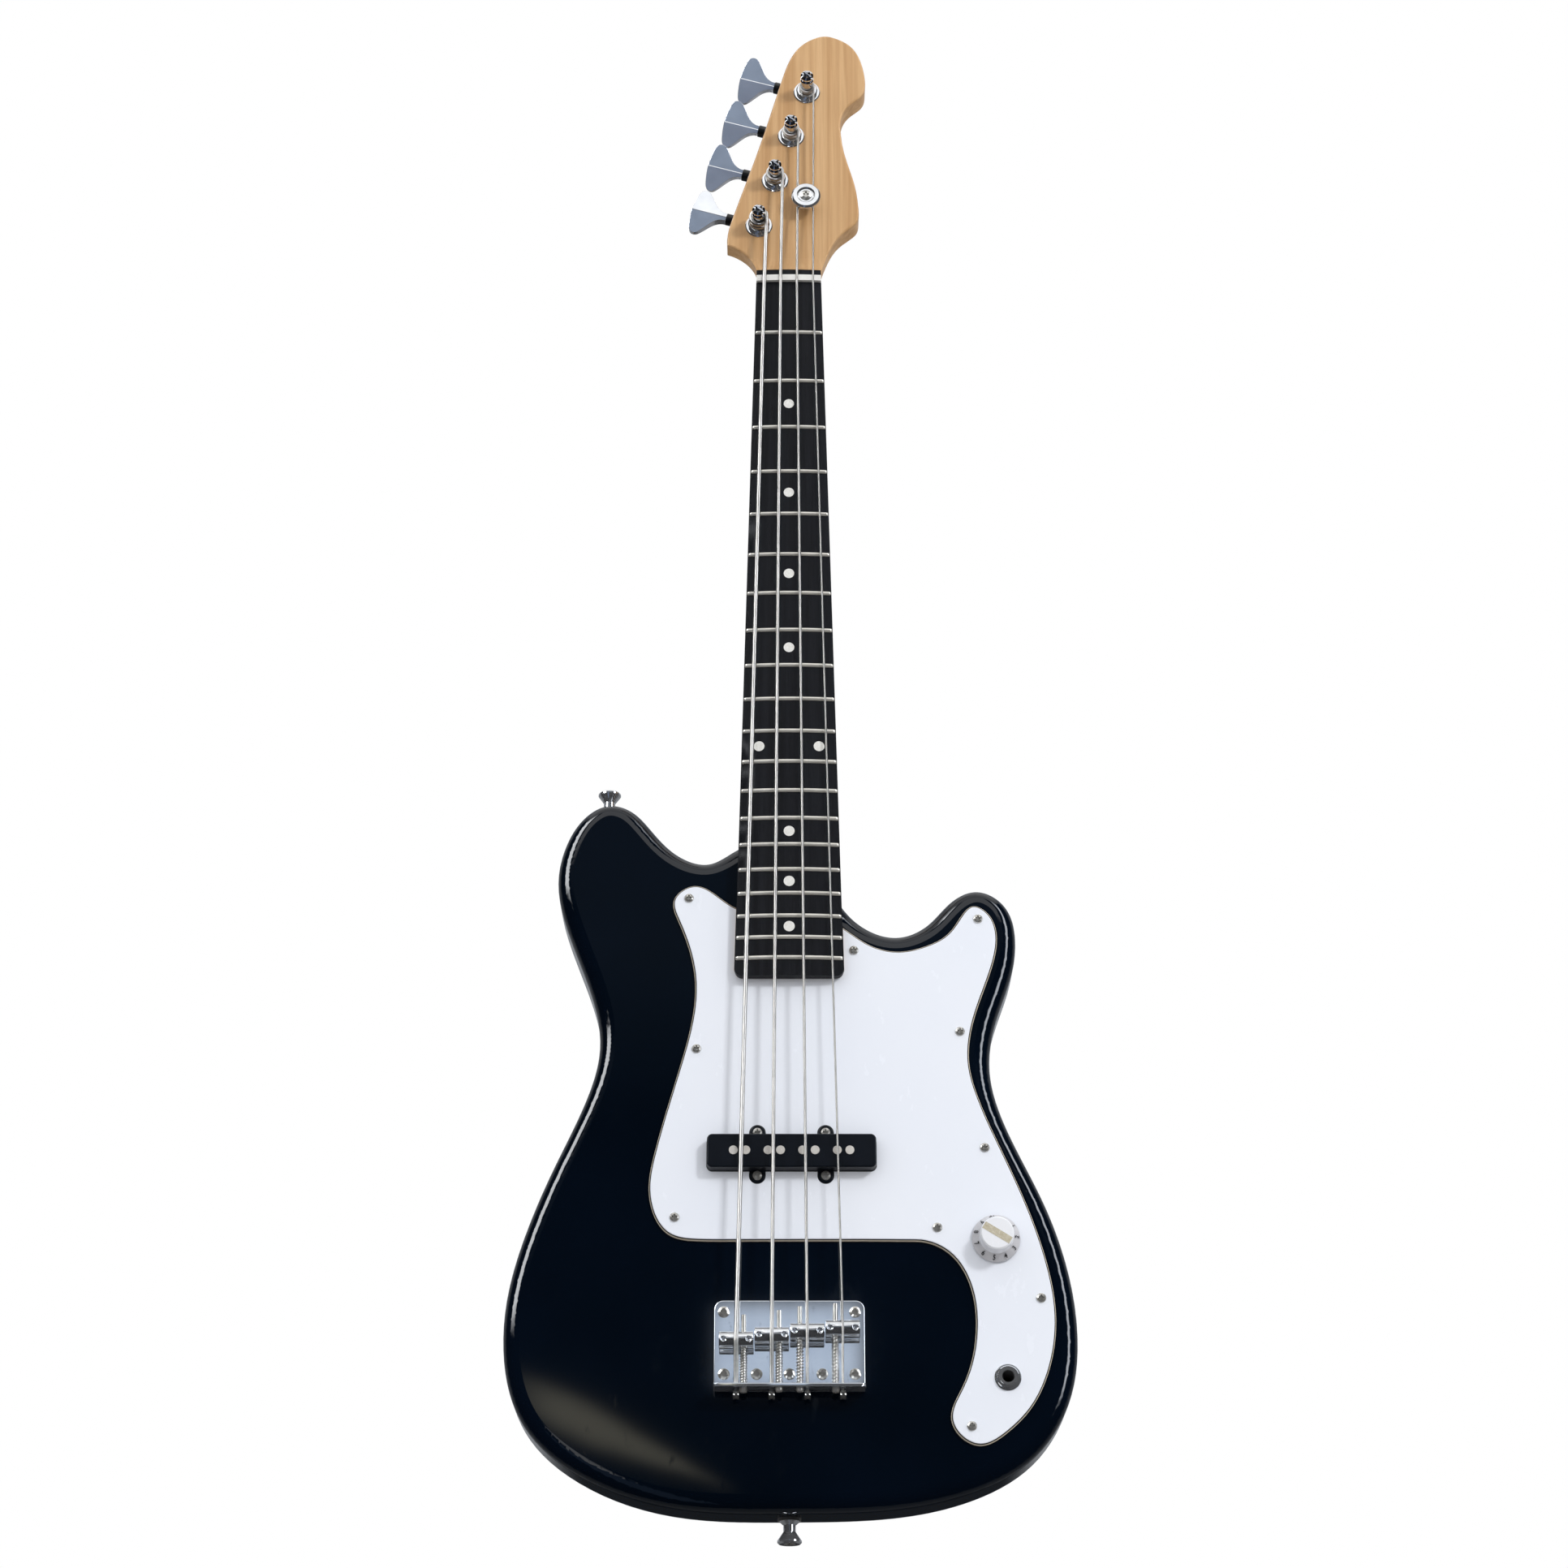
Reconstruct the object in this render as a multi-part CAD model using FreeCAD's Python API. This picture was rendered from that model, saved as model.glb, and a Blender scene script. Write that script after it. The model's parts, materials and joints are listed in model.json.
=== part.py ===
import FreeCAD, Part
import math
import os

# Short-scale electric bass guitar with four strings and one pickup.
# Frame: X to the right seen from the front, Y towards the back, Z up along the neck.
# Origin: on the centre line, where the scale starts at the nut, on the plane between neck and board.
# All lengths are in millimetres and all angles in degrees.

# Scale, fingerboard, frets and nut
scale_length = 648.0
fret_count = 20
nut_width = 40.0
board_end_width = 61.0
board_past_fret = 10.6
board_behind_nut = 5.0
board_thickness = 6.0
board_radius = 240.0
board_corner = 4.5
nut_thickness = 4.0
nut_rise = 2.2
nut_slot_depth = 4.0
fret_width = 2.4
fret_rise = 1.1
fret_tang_width = 0.7
fret_tang_depth = 1.8
fret_end_inset = 0.3
fret_shoulder_share = 0.55
fret_shoulder_half_share = 0.42
fret_crown_half_share = 0.15
marker_diameter = 6.2
marker_depth = 1.6
marker_pair_spacing = 34.5
side_marker_diameter = 2.2
single_marker_frets = (3, 5, 7, 9, 15, 17, 19)
double_marker_fret = 12

# Neck, heel and truss rod
neck_depth_nut = 14.5
neck_depth_heel = 16.5
neck_roundness = 2.3
heel_roundness = 6.0
heel_thickness = 20.0
heel_length = 96.0
heel_setback = 1.6
heel_blend = 30.0
truss_rod_diameter = 5.0
truss_rod_depth = 8.0
truss_rod_top = 24.0
truss_nut_diameter = 8.0
truss_nut_length = 11.0
truss_nut_key = 4.0

# Headstock
head_drop = 6.0
head_thickness = 14.0
head_width = 87.4
head_length = 195.2
head_ramp_radius = 25.0
head_blend = 38.0
head_edge_radius = 1.2
head_right_shares = (
    (0.229, 0.036), (0.240, 0.085), (0.263, 0.121), (0.349, 0.205), (0.423, 0.239), (0.488, 0.268),
    (0.502, 0.325), (0.476, 0.413), (0.402, 0.539), (0.380, 0.612), (0.391, 0.683), (0.446, 0.724),
    (0.542, 0.766), (0.561, 0.799), (0.556, 0.845), (0.534, 0.893), (0.458, 0.959), (0.350, 0.991),
    (0.272, 1.000), (0.189, 0.991), (0.087, 0.959), (0.017, 0.912), (-0.040, 0.840), (-0.145, 0.666),
    (-0.291, 0.444), (-0.405, 0.280), (-0.436, 0.222), (-0.439, 0.179),
)
head_left_shares = ((-0.439, 0.179), (-0.311, 0.143), (-0.243, 0.097), (-0.229, 0.036))

# Body
body_length = 402.7
body_width = 307.0
body_thickness = 40.0
body_edge_radius = 9.0
body_face_drop = 4.0
tail_drop = 99.5
body_outline_shares = (
    (0.000, 0.000), (0.178, 0.005), (0.316, 0.028), (0.424, 0.076), (0.488, 0.156), (0.502, 0.241),
    (0.487, 0.330), (0.449, 0.419), (0.394, 0.511), (0.362, 0.604), (0.376, 0.675), (0.408, 0.747),
    (0.416, 0.795), (0.396, 0.848), (0.345, 0.868), (0.300, 0.853), (0.254, 0.817), (0.198, 0.799),
    (0.143, 0.811), (0.107, 0.835), (0.072, 0.874), (0.013, 0.918), (-0.046, 0.941), (-0.094, 0.933),
    (-0.150, 0.910), (-0.202, 0.921), (-0.261, 0.966), (-0.296, 0.992), (-0.339, 1.000), (-0.380, 0.983),
    (-0.414, 0.941), (-0.428, 0.887), (-0.412, 0.819), (-0.365, 0.723), (-0.343, 0.637), (-0.367, 0.557),
    (-0.419, 0.465), (-0.465, 0.374), (-0.494, 0.285), (-0.498, 0.220), (-0.459, 0.116), (-0.357, 0.048),
    (-0.189, 0.006),
)

# Pickguard
guard_thickness = 2.5
guard_bevel = 1.2
guard_neck_gap = 0.4
guard_hole_gap = 0.35
guard_outline_shares = (
    (0.222, 0.3566), (0.250, 0.353), (0.280, 0.340), (0.316, 0.294), (0.323, 0.235), (0.296, 0.159),
    (0.277, 0.118),
    (0.292, 0.096), (0.324, 0.084), (0.373, 0.101), (0.417, 0.135), (0.447, 0.181), (0.463, 0.255),
    (0.452, 0.322), (0.392, 0.457), (0.337, 0.560), (0.324, 0.602), (0.336, 0.675), (0.373, 0.756),
    (0.380, 0.788), (0.361, 0.830), (0.342, 0.838), (0.297, 0.802), (0.252, 0.779), (0.198, 0.770),
    (0.144, 0.781), (0.101, 0.804), (0.000, 0.833), (-0.097, 0.835), (-0.179, 0.868), (-0.212, 0.847),
    (-0.203, 0.815), (-0.171, 0.721), (-0.199, 0.595), (-0.241, 0.474), (-0.248, 0.421), (-0.210, 0.365),
    (-0.160, 0.3572), (-0.100, 0.3568), (-0.020, 0.357), (0.070, 0.357), (0.160, 0.357),
)
guard_neck_screw_share = 0.771
guard_neck_screw_gap = 6.1
guard_screw_shares = (
    (-0.184, 0.849), (0.346, 0.818), (0.308, 0.652), (-0.167, 0.627), (0.347, 0.486),
    (-0.202, 0.389), (0.260, 0.375), (0.438, 0.279), (0.312, 0.109),
)

# Wood screws, each with a domed cross-head
small_head_diameter = 5.4
small_head_height = 1.6
small_shank_diameter = 2.6
small_screw_length = 12.0
large_head_diameter = 8.0
large_head_height = 2.4
large_shank_diameter = 4.2
neck_screw_length = 40.0
tiny_head_diameter = 4.2
tiny_head_height = 1.3
tiny_shank_diameter = 1.9
tiny_screw_length = 9.0
pickup_screw_length = 18.0
head_cross_share = 0.56
head_cross_width_share = 0.16
head_cross_depth_share = 0.7
head_dome_share = 0.9

# Neck plate
neck_plate_width = 46.0
neck_plate_height = 44.0
neck_plate_thickness = 2.0
neck_plate_corner = 6.0
neck_plate_inset = 4.0
neck_screw_inset = 7.0

# Pocket and cavities in the body
pocket_gap = 0.2
pickup_cavity_gap = 0.6
pickup_cavity_depth = 18.0
control_cavity_width = 24.0
control_cavity_reach = 13.0
control_cavity_depth = 30.0
cavity_corner_share = 0.6
channel_width = 7.0
channel_depth = 18.0

# Pickup
pickup_from_saddles = 92.4
pickup_offset = 1.2
pickup_length = 92.0
pickup_width = 18.8
pickup_corner = 3.0
pickup_rise = 10.5
pickup_wall = 1.2
pickup_depth = 7.0
ear_spacing_along = 37.2
ear_spacing_across = 24.2
ear_diameter = 8.4
ear_thickness = 3.2
pole_diameter = 4.8
pole_proud = 0.5
pole_pair_spacing = 6.8
bobbin_gap = 0.4
bobbin_plate = 1.5
coil_wall = 3.2
coil_gap = 0.3
coil_end_share = 0.999

# Volume pot, knob and jack
knob_shares = (0.362, 0.359)
jack_shares = (0.376, 0.173)
pot_diameter = 17.0
pot_height = 9.0
pot_bushing_diameter = 7.0
pot_bushing_rise = 4.0
pot_hollow_diameter = 13.0
pot_wall = 1.0
pot_nut_width = 10.0
pot_nut_height = 2.2
pot_tab_width = 2.0
pot_tab_length = 3.5
pot_tab_thickness = 0.8
shaft_diameter = 6.0
shaft_clearance = 0.05
wiper_height = 2.0
wiper_clearance = 0.5
knob_skirt_diameter = 26.0
knob_top_diameter = 18.0
knob_height = 12.4
knob_lift = 0.8
knob_rim = 1.4
knob_skirt_height = 4.2
knob_wall = 2.6
knob_edge = 0.7
knob_flare_share = 1.04
knob_strip_width = 4.0
knob_strip_length = 16.6
knob_strip_depth = 0.6
knob_strip_proud = 0.1
knob_strip_angle = 32.0
jack_bore = 6.5
jack_barrel_diameter = 9.4
jack_sleeve_diameter = 11.0
jack_flange_diameter = 18.0
jack_flange = 1.5
jack_depth = 12.0
jack_proud = 3.2
jack_washer_diameter = 14.2
jack_washer = 0.8
jack_nut_diameter = 12.0
jack_nut = 1.8
jack_leaf_width = 5.0
jack_leaf = 0.8
jack_leaf_reach = 10.0
lead_diameter = 1.7
lead_depth = 6.5
lead_bend = 2.2
lead_offset = 4.0

# Bridge plate, saddles, their screws and springs
bridge_length = 48.8
bridge_width = 80.4
bridge_plate = 2.0
bridge_corner = 5.0
bridge_ahead = 11.7
bridge_lip_height = 12.0
bridge_lip = 2.0
bridge_lip_corner = 2.5
bridge_screw_head_diameter = 6.3
bridge_screw_half_span = 35.0
bridge_screw_pitch = 17.4
bridge_screw_front = 6.4
bridge_screw_rear = 9.1
saddle_diameter = 9.2
saddle_pitch = 18.8
saddle_gap = 0.5
saddle_height = 10.4
saddle_setback_e = 11.4
saddle_setback_step = 2.03
saddle_thread_gap = 0.05
grub_diameter = 2.8
grub_spacing = 13.4
grub_socket = 1.3
grub_socket_depth = 1.6
intonation_offset = 3.9
intonation_diameter = 2.5
intonation_proud = 9.0
intonation_head_diameter = 4.2
intonation_head = 2.2
intonation_cross = 0.8
intonation_edge_share = 0.8
spring_wire = 0.6
spring_clearance = 0.2
spring_turns = 13
spring_end_gap = 0.05

# Strings, lowest first
string_names = ("e", "a", "d", "g")
string_diameters = (2.5, 2.05, 1.6, 1.15)
string_nut_pitch = 10.0
string_over_first_fret = 0.8
string_saddle_gap = 0.1
string_bend = 14.0
string_hole_gap = 0.4
string_hole_rise = 4.6
ball_diameter = 5.2
ball_length = 3.4
ball_gap = 0.3
winding_turns = 2
winding_gap = 0.65
winding_clearance = 0.3
winding_tail = 1.5
winding_bend_share = 1.02

# String retainer on the headstock
retainer_x = 10.8
retainer_z = 64.5
retainer_diameter = 18.2
retainer_height = 9.2
retainer_disc = 2.6
retainer_edge = 1.1
retainer_recess_diameter = 11.4
retainer_recess = 1.0
retainer_screw_head = 7.4
retainer_spacer_diameter = 6.4
retainer_string_gap = 0.3

# Tuners, counted from the nut up
tuner_x = -18.6
tuner_z = 49.1
tuner_pitch = 35.3
tuner_line_angle = 16.6
tuner_washer_diameter = 17.0
tuner_washer = 1.1
tuner_nut_diameter = 13.4
tuner_nut = 2.1
tuner_sleeve_diameter = 11.0
post_diameter = 6.8
post_clearance = 0.06
post_neck_height = 13.0
post_ring_diameter = 8.4
post_ring = 1.0
post_waist_diameter = 6.0
post_waist = 1.3
post_bulb_diameter = 8.0
post_bulb = 3.2
post_tip_diameter = 5.2
post_tip = 1.8
post_slot = 1.4
post_slot_depth = 3.0
post_tang_share = 0.7
post_dome_share = 0.8
plate_thickness = 1.2
plate_reach_in = 14.0
plate_reach_out = 15.0
plate_below = 10.5
plate_above = 16.0
plate_corner = 3.0
plate_screw_inset = 3.0
gear_teeth = 20
gear_module = 0.8
gear_width = 2.4
gear_lift = 2.4
gear_tip_share = 0.5
gear_root_share = 1.0
tooth_tip_share = 0.11
tooth_root_share = 0.25
gear_screw_diameter = 6.4
gear_screw = 2.0
gear_screw_slot = 1.0
gear_screw_dome_share = 0.76
worm_core_diameter = 5.4
worm_thread_diameter = 0.96
worm_pitch_diameter = 6.2
worm_turns = 3
key_shaft_diameter = 4.0
key_shaft_clearance = 0.05
lug_thickness = 2.4
lug_width = 7.0
lug_place = 10.0
collar_diameter = 7.4
collar_length = 4.2
collar_place = 20.6
key_length = 23.0
key_width = 31.0
key_ridge = 6.4
key_edge = 3.0
key_stem_diameter = 5.2
key_stem_share = 0.3
key_rest_angles = (-4, -20, -20, -20)
key_side_shares = (
    (0.000, 0.086), (0.140, 0.096), (0.280, 0.150), (0.400, 0.240), (0.510, 0.345), (0.610, 0.435),
    (0.690, 0.485), (0.770, 0.500), (0.850, 0.485), (0.910, 0.430), (0.950, 0.330), (0.982, 0.180),
)

# Strap buttons
button_x_share = -0.339
button_base_diameter = 11.0
button_waist_diameter = 6.6
button_flange_diameter = 13.0
button_base = 2.0
button_waist = 3.4
button_flange = 1.8
button_flare = 4.6
button_sink = 2.4
button_dome_share = 0.86
felt_diameter = 12.4
felt_thickness = 1.6
button_screw_length = 30.0

# Places that follow from the sizes above


def fret_place(number):
    return scale_length * (2 ** (-number / 12) - 1)


full_turn = 2 * math.pi
board_end = fret_place(fret_count) - board_past_fret
board_top = nut_thickness + board_behind_nut
saddle_line = -scale_length
body_tail = saddle_line - tail_drop
body_front = body_face_drop
body_back = body_front + body_thickness
body_middle = (body_front + body_back) / 2
guard_top = body_front - guard_thickness
heel_end = board_end + heel_setback
heel_top = board_end + heel_length
head_face = head_drop
head_back = head_drop + head_thickness
bridge_top = body_front - bridge_plate
bridge_front = saddle_line + bridge_ahead
bridge_rear = bridge_front - bridge_length
lip_front = bridge_rear + bridge_lip
pickup_z = saddle_line + pickup_from_saddles
pickup_top = body_front - pickup_rise
pickup_base = body_front + pickup_depth


def vec(x, y, z):
    return FreeCAD.Vector(x, y, z)


right = vec(1, 0, 0)
front = vec(0, -1, 0)
back = vec(0, 1, 0)
up = vec(0, 0, 1)
down = vec(0, 0, -1)


def half_width(z):
    """Half the width of neck and board, which taper from the nut to the board's end."""
    return nut_width / 2 + (board_end_width - nut_width) / 2 * z / board_end


def board_face(x):
    """Y of the arched front of the board."""
    return board_radius - board_thickness - math.sqrt(board_radius ** 2 - x ** 2)


def on_body(shares):
    return shares[0] * body_width, body_tail + shares[1] * body_length


def on_head(shares):
    return shares[0] * head_width, shares[1] * head_length


knob_x, knob_z = on_body(knob_shares)
jack_x, jack_z = on_body(jack_shares)


# Small makers of shapes


def box(x0, x1, y0, y1, z0, z1):
    return Part.makeBox(x1 - x0, y1 - y0, z1 - z0, vec(x0, y0, z0))


def rod(start, end, diameter):
    span = end - start
    return Part.makeCylinder(diameter / 2, span.Length, start, span)


def rod_y(x, z, y0, y1, diameter):
    return rod(vec(x, y0, z), vec(x, y1, z), diameter)


def ring_y(x, z, y0, y1, outer, inner):
    return rod_y(x, z, y0, y1, outer).cut(rod_y(x, z, y0, y1, inner))


def rounded_wire(corners, radii):
    """Closed wire through 3-D corners, each rounded with its own radius."""
    edges = []
    starts = []
    ends = []
    middles = []
    count = len(corners)
    for index in range(count):
        corner = corners[index]
        before = (corners[index - 1] - corner).normalize()
        after = (corners[(index + 1) % count] - corner).normalize()
        half = before.getAngle(after) / 2
        reach = radii[index] / math.tan(half)
        middle_way = (before + after).normalize()
        starts.append(corner + before * reach)
        ends.append(corner + after * reach)
        middles.append(corner + middle_way * (radii[index] / math.sin(half) - radii[index]))
    for index in range(count):
        if radii[index] > 0:
            edges.append(Part.Arc(starts[index], middles[index], ends[index]).toShape())
        edges.append(Part.makeLine(ends[index], starts[(index + 1) % count]))
    return Part.Wire(edges)


def rectangle(x0, x1, z0, z1, y, radius):
    corners = [vec(x0, y, z0), vec(x1, y, z0), vec(x1, y, z1), vec(x0, y, z1)]
    return rounded_wire(corners, [radius] * 4)


def slab(wire, depth):
    return Part.Face(wire).extrude(back * depth)


def block(x0, x1, z0, z1, y0, y1, radius):
    return slab(rectangle(x0, x1, z0, z1, y0, radius), y1 - y0)


def curve(points, closed=False):
    spline = Part.BSplineCurve()
    spline.interpolate(Points=points, PeriodicFlag=closed)
    return spline.toShape()


def flat_edges(shape, y):
    """The edges of a shape that lie in one plane across Y."""
    near = body_thickness / 1e5
    return [e for e in shape.Edges if max(abs(e.BoundBox.YMin - y), abs(e.BoundBox.YMax - y)) < near]


def turned(origin, axis, profile):
    """Solid turned about an axis, from pairs of radius and height along it."""
    side = axis.cross(right)
    if side.Length < math.sin(math.radians(5)):
        side = axis.cross(up)
    side.normalize()
    points = [origin + side * radius + axis * height for radius, height in profile]
    points.append(points[0])
    return Part.Face(Part.makePolygon(points)).revolve(origin, axis, 360)


def aimed(shape, point, axis):
    """Copy of a shape made along +Y, moved to a point and turned to an axis."""
    copy = shape.copy()
    copy.Placement = FreeCAD.Placement(point, FreeCAD.Rotation(back, axis))
    return copy


def fused(shapes):
    return shapes[0].fuse(shapes[1:]).removeSplitter()


def arc_middle(start, tangent, end):
    """Middle of the arc that leaves one point along a tangent and ends at another."""
    chord = end - start
    aside = (chord - tangent * chord.dot(tangent)).normalize()
    radius = chord.Length ** 2 / (2 * chord.dot(aside))
    centre = start + aside * radius
    return centre + ((start + end) / 2 - centre).normalize() * radius


def biarc(start, leave, end, arrive):
    """Two arcs that join two points and keep the direction at both."""
    chord = end - start
    turn = 2 * (1 - leave.dot(arrive))
    along = chord.dot(leave + arrive)
    reach = (math.sqrt(along ** 2 + turn * chord.dot(chord)) - along) / turn
    meet = (start + leave * reach + end - arrive * reach) / 2
    first = Part.Arc(start, arc_middle(start, leave, meet), meet)
    second = Part.Arc(meet, arc_middle(end, arrive * -1, meet), end)
    return [first.toShape(), second.toShape()]


def helix_nodes(centre, axis, start_way, radius, pitch, turns, parts):
    """Points and directions along a coil; it climbs along the axis as it turns about it."""
    across = axis.cross(start_way)
    nodes = []
    for index in range(int(turns * parts) + 1):
        angle = full_turn * index / parts
        way = start_way * math.cos(angle) + across * math.sin(angle)
        point = centre + way * radius + axis * (pitch * index / parts)
        ahead = axis.cross(way) * radius + axis * (pitch / full_turn)
        nodes.append((point, ahead.normalize()))
    return nodes


def coil_edges(nodes):
    edges = []
    for before, after in zip(nodes, nodes[1:]):
        edges += biarc(before[0], before[1], after[0], after[1])
    return edges


def bent_edges(points, radii):
    """Straight runs through points, joined by arcs of the given radii at the inner ones."""
    edges = []
    start = points[0]
    for index in range(1, len(points) - 1):
        corner = points[index]
        before = (points[index - 1] - corner).normalize()
        after = (points[index + 1] - corner).normalize()
        half = before.getAngle(after) / 2
        reach = radii[index - 1] / math.tan(half)
        middle_way = (before + after).normalize()
        middle = corner + middle_way * (radii[index - 1] / math.sin(half) - radii[index - 1])
        enter = corner + before * reach
        leave = corner + after * reach
        edges.append(Part.makeLine(start, enter))
        edges.append(Part.Arc(enter, middle, leave).toShape())
        start = leave
    edges.append(Part.makeLine(start, points[-1]))
    return edges


def tube(edges, diameter):
    """Round tube along a smooth chain of edges."""
    path = Part.Wire(edges)
    first = edges[0]
    begin = first.valueAt(first.FirstParameter)
    way = first.tangentAt(first.FirstParameter)
    sweep = Part.BRepOffsetAPI.MakePipeShell(path)
    sweep.add(Part.Wire([Part.Circle(begin, way, diameter / 2).toShape()]))
    sweep.build()
    sweep.makeSolid()
    return sweep.shape()


def self_gap(edges, diameter):
    """Least clear space between parts of one tube that are not neighbours along it."""
    points = []
    run = 0.0
    for edge in edges:
        count = max(2, int(edge.Length / diameter * 4))
        for point in edge.discretize(count):
            if points:
                run += (point - points[-1][1]).Length
            points.append((run, point))
    least = run
    for index, (place, point) in enumerate(points):
        for other_place, other in points[index + 1:]:
            if other_place - place > 3 * diameter:
                least = min(least, (other - point).Length)
    return least - diameter


def tell(label, solid, edges, diameter, wound_edges):
    """Print a tube's least gap to itself, and its volume over that of a straight rod."""
    rod_volume = math.pi * diameter ** 2 / 4 * sum(edge.Length for edge in edges)
    gap = self_gap(wound_edges, diameter)
    print(label, "least gap", round(gap, 3), "volume ratio", round(solid.Volume / rod_volume, 4))


def tangent_point(point, centre, radius, side):
    """Where a line from a point touches a circle in a plane; side picks one of the two."""
    dx = point[0] - centre[0]
    dy = point[1] - centre[1]
    span = math.hypot(dx, dy)
    angle = math.atan2(dy, dx) + side * math.acos(radius / span)
    return centre[0] + radius * math.cos(angle), centre[1] + radius * math.sin(angle)


def crossing(p, q, r, s):
    """Point where the line through p and q meets the line through r and s, in a plane."""
    bottom = (p[0] - q[0]) * (r[1] - s[1]) - (p[1] - q[1]) * (r[0] - s[0])
    first = p[0] * q[1] - p[1] * q[0]
    second = r[0] * s[1] - r[1] * s[0]
    a = (first * (r[0] - s[0]) - (p[0] - q[0]) * second) / bottom
    b = (first * (r[1] - s[1]) - (p[1] - q[1]) * second) / bottom
    return a, b


def cross_screw(head_diameter, head_height, shank_diameter, length):
    """Screw with a domed head whose seat is at zero height, pointing along +Y."""
    head = head_diameter / 2
    shank = shank_diameter / 2
    profile = [(0, -head_height), (head * head_cross_share, -head_height * head_dome_share),
               (head * head_dome_share, -head_height / 2), (head, 0), (shank, 0),
               (shank, length - shank), (0, length)]
    screw = turned(vec(0, 0, 0), back, profile)
    reach = head * head_cross_share
    half = head * head_cross_width_share
    floor = -head_height * (1 - head_cross_depth_share)
    cross = box(-reach, reach, -head_height, floor, -half, half)
    cross = cross.fuse(box(-half, half, -head_height, floor, -reach, reach))
    return screw.cut(cross)


small_sizes = (small_head_diameter, small_head_height, small_shank_diameter)
tiny_sizes = (tiny_head_diameter, tiny_head_height, tiny_shank_diameter)
large_sizes = (large_head_diameter, large_head_height, large_shank_diameter)
small_screw = cross_screw(*small_sizes, small_screw_length)
pickup_screw = cross_screw(*small_sizes, pickup_screw_length)
tiny_screw = cross_screw(*tiny_sizes, tiny_screw_length)
neck_screw = cross_screw(*large_sizes, neck_screw_length)
button_screw = cross_screw(*large_sizes, button_screw_length)

# Fingerboard, frets, markers and nut

end_half = half_width(board_end)
top_half = half_width(board_top)
board_corners = [vec(-end_half, -board_thickness, board_end), vec(end_half, -board_thickness, board_end),
                 vec(top_half, -board_thickness, board_top), vec(-top_half, -board_thickness, board_top)]
board_wire = rounded_wire(board_corners, [board_corner, board_corner, 0, 0])
arch_axis = board_radius - board_thickness
arch = Part.makeCylinder(board_radius, board_top - board_end, vec(0, arch_axis, board_end), up)
board = slab(board_wire, board_thickness).common(arch)

fret_profile = (
    (-fret_tang_depth, fret_tang_width / 2), (0, fret_tang_width / 2), (0, fret_width / 2),
    (fret_rise * fret_shoulder_share, fret_width * fret_shoulder_half_share),
    (fret_rise, fret_width * fret_crown_half_share),
)
frets = []
for number in range(1, fret_count + 1):
    place = fret_place(number)
    sweep_half = math.asin((half_width(place) - fret_end_inset) / board_radius)
    points = [vec(0, arch_axis - board_radius - rise, place + half) for rise, half in fret_profile]
    points += [vec(0, arch_axis - board_radius - rise, place - half) for rise, half in reversed(fret_profile)]
    points.append(points[0])
    blade = Part.Face(Part.makePolygon(points))
    blade.rotate(vec(0, arch_axis, 0), up, -math.degrees(sweep_half))
    frets.append(blade.revolve(vec(0, arch_axis, 0), up, math.degrees(2 * sweep_half)))

marker_rods = []
marker_places = [(0, number) for number in single_marker_frets]
marker_places += [(side * marker_pair_spacing / 2, double_marker_fret) for side in (-1, 1)]
for x, number in marker_places:
    z = (fret_place(number) + fret_place(number - 1)) / 2
    marker_rods.append(rod_y(x, z, -board_thickness, board_face(x) + marker_depth, marker_diameter))
for number in single_marker_frets + (double_marker_fret,):
    z = (fret_place(number) + fret_place(number - 1)) / 2
    side_y = -board_thickness / 3
    inner = -half_width(z) + marker_depth
    marker_rods.append(rod(vec(-board_end_width, side_y, z), vec(inner, side_y, z), side_marker_diameter))
markers = [marker.common(board) for marker in marker_rods]

string_rows = []
for index, diameter in enumerate(string_diameters):
    nut_x = (index - 1.5) * string_nut_pitch
    nut_y = board_face(nut_x) - fret_rise - string_over_first_fret - diameter / 2
    string_rows.append((nut_x, nut_y, diameter))

nut_floor = -board_thickness + nut_slot_depth
nut_arch = Part.makeCylinder(board_radius + nut_rise, nut_thickness, vec(0, arch_axis, 0), up)
nut_half = half_width(nut_thickness)
nut_rear = nut_floor - nut_slot_depth - nut_rise
nut = box(-nut_half, nut_half, nut_rear, nut_floor, 0, nut_thickness).common(nut_arch)
nut_slot = box(-board_end_width, board_end_width, nut_rear, nut_floor, 0, nut_thickness)
board = board.cut(frets + marker_rods + [nut_slot])

# Neck with heel and headstock


def neck_section(z, half, depth, roundness):
    """Closed section of the neck: flat front, rounded back."""
    points = [vec(-half, 0, z)]
    for index in range(1, 10):
        angle = math.pi * index / 10
        across = math.cos(angle)
        x = -math.copysign(abs(across) ** (2 / roundness), across) * half
        points.append(vec(x, math.sin(angle) ** (2 / roundness) * depth, z))
    points.append(vec(half, 0, z))
    return Part.Wire([curve(points), Part.makeLine(points[-1], points[0])])


shaft_low = heel_top + heel_blend
shaft_depth = neck_depth_nut + (neck_depth_heel - neck_depth_nut) / 2
shaft_sections = [
    neck_section(board_top, top_half, neck_depth_nut, neck_roundness),
    neck_section(shaft_low / 2, half_width(shaft_low / 2), shaft_depth, neck_roundness),
    neck_section(shaft_low, half_width(shaft_low), neck_depth_heel, neck_roundness),
]
shaft = Part.makeLoft(shaft_sections, True, False)
heel_section = neck_section(heel_top, half_width(heel_top), heel_thickness, heel_roundness)
blend = Part.makeLoft([shaft_sections[2], heel_section], True, True)


def heel_wire(grow, y, top):
    """Outline of the heel, grown on all sides; it follows the board's taper."""
    low = half_width(heel_end) + grow
    high = half_width(top) + grow
    corner = board_corner + grow
    end = heel_end - grow
    corners = [vec(-low, y, end), vec(low, y, end), vec(high, y, top), vec(-high, y, top)]
    return rounded_wire(corners, [corner, corner, 0, 0])


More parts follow.
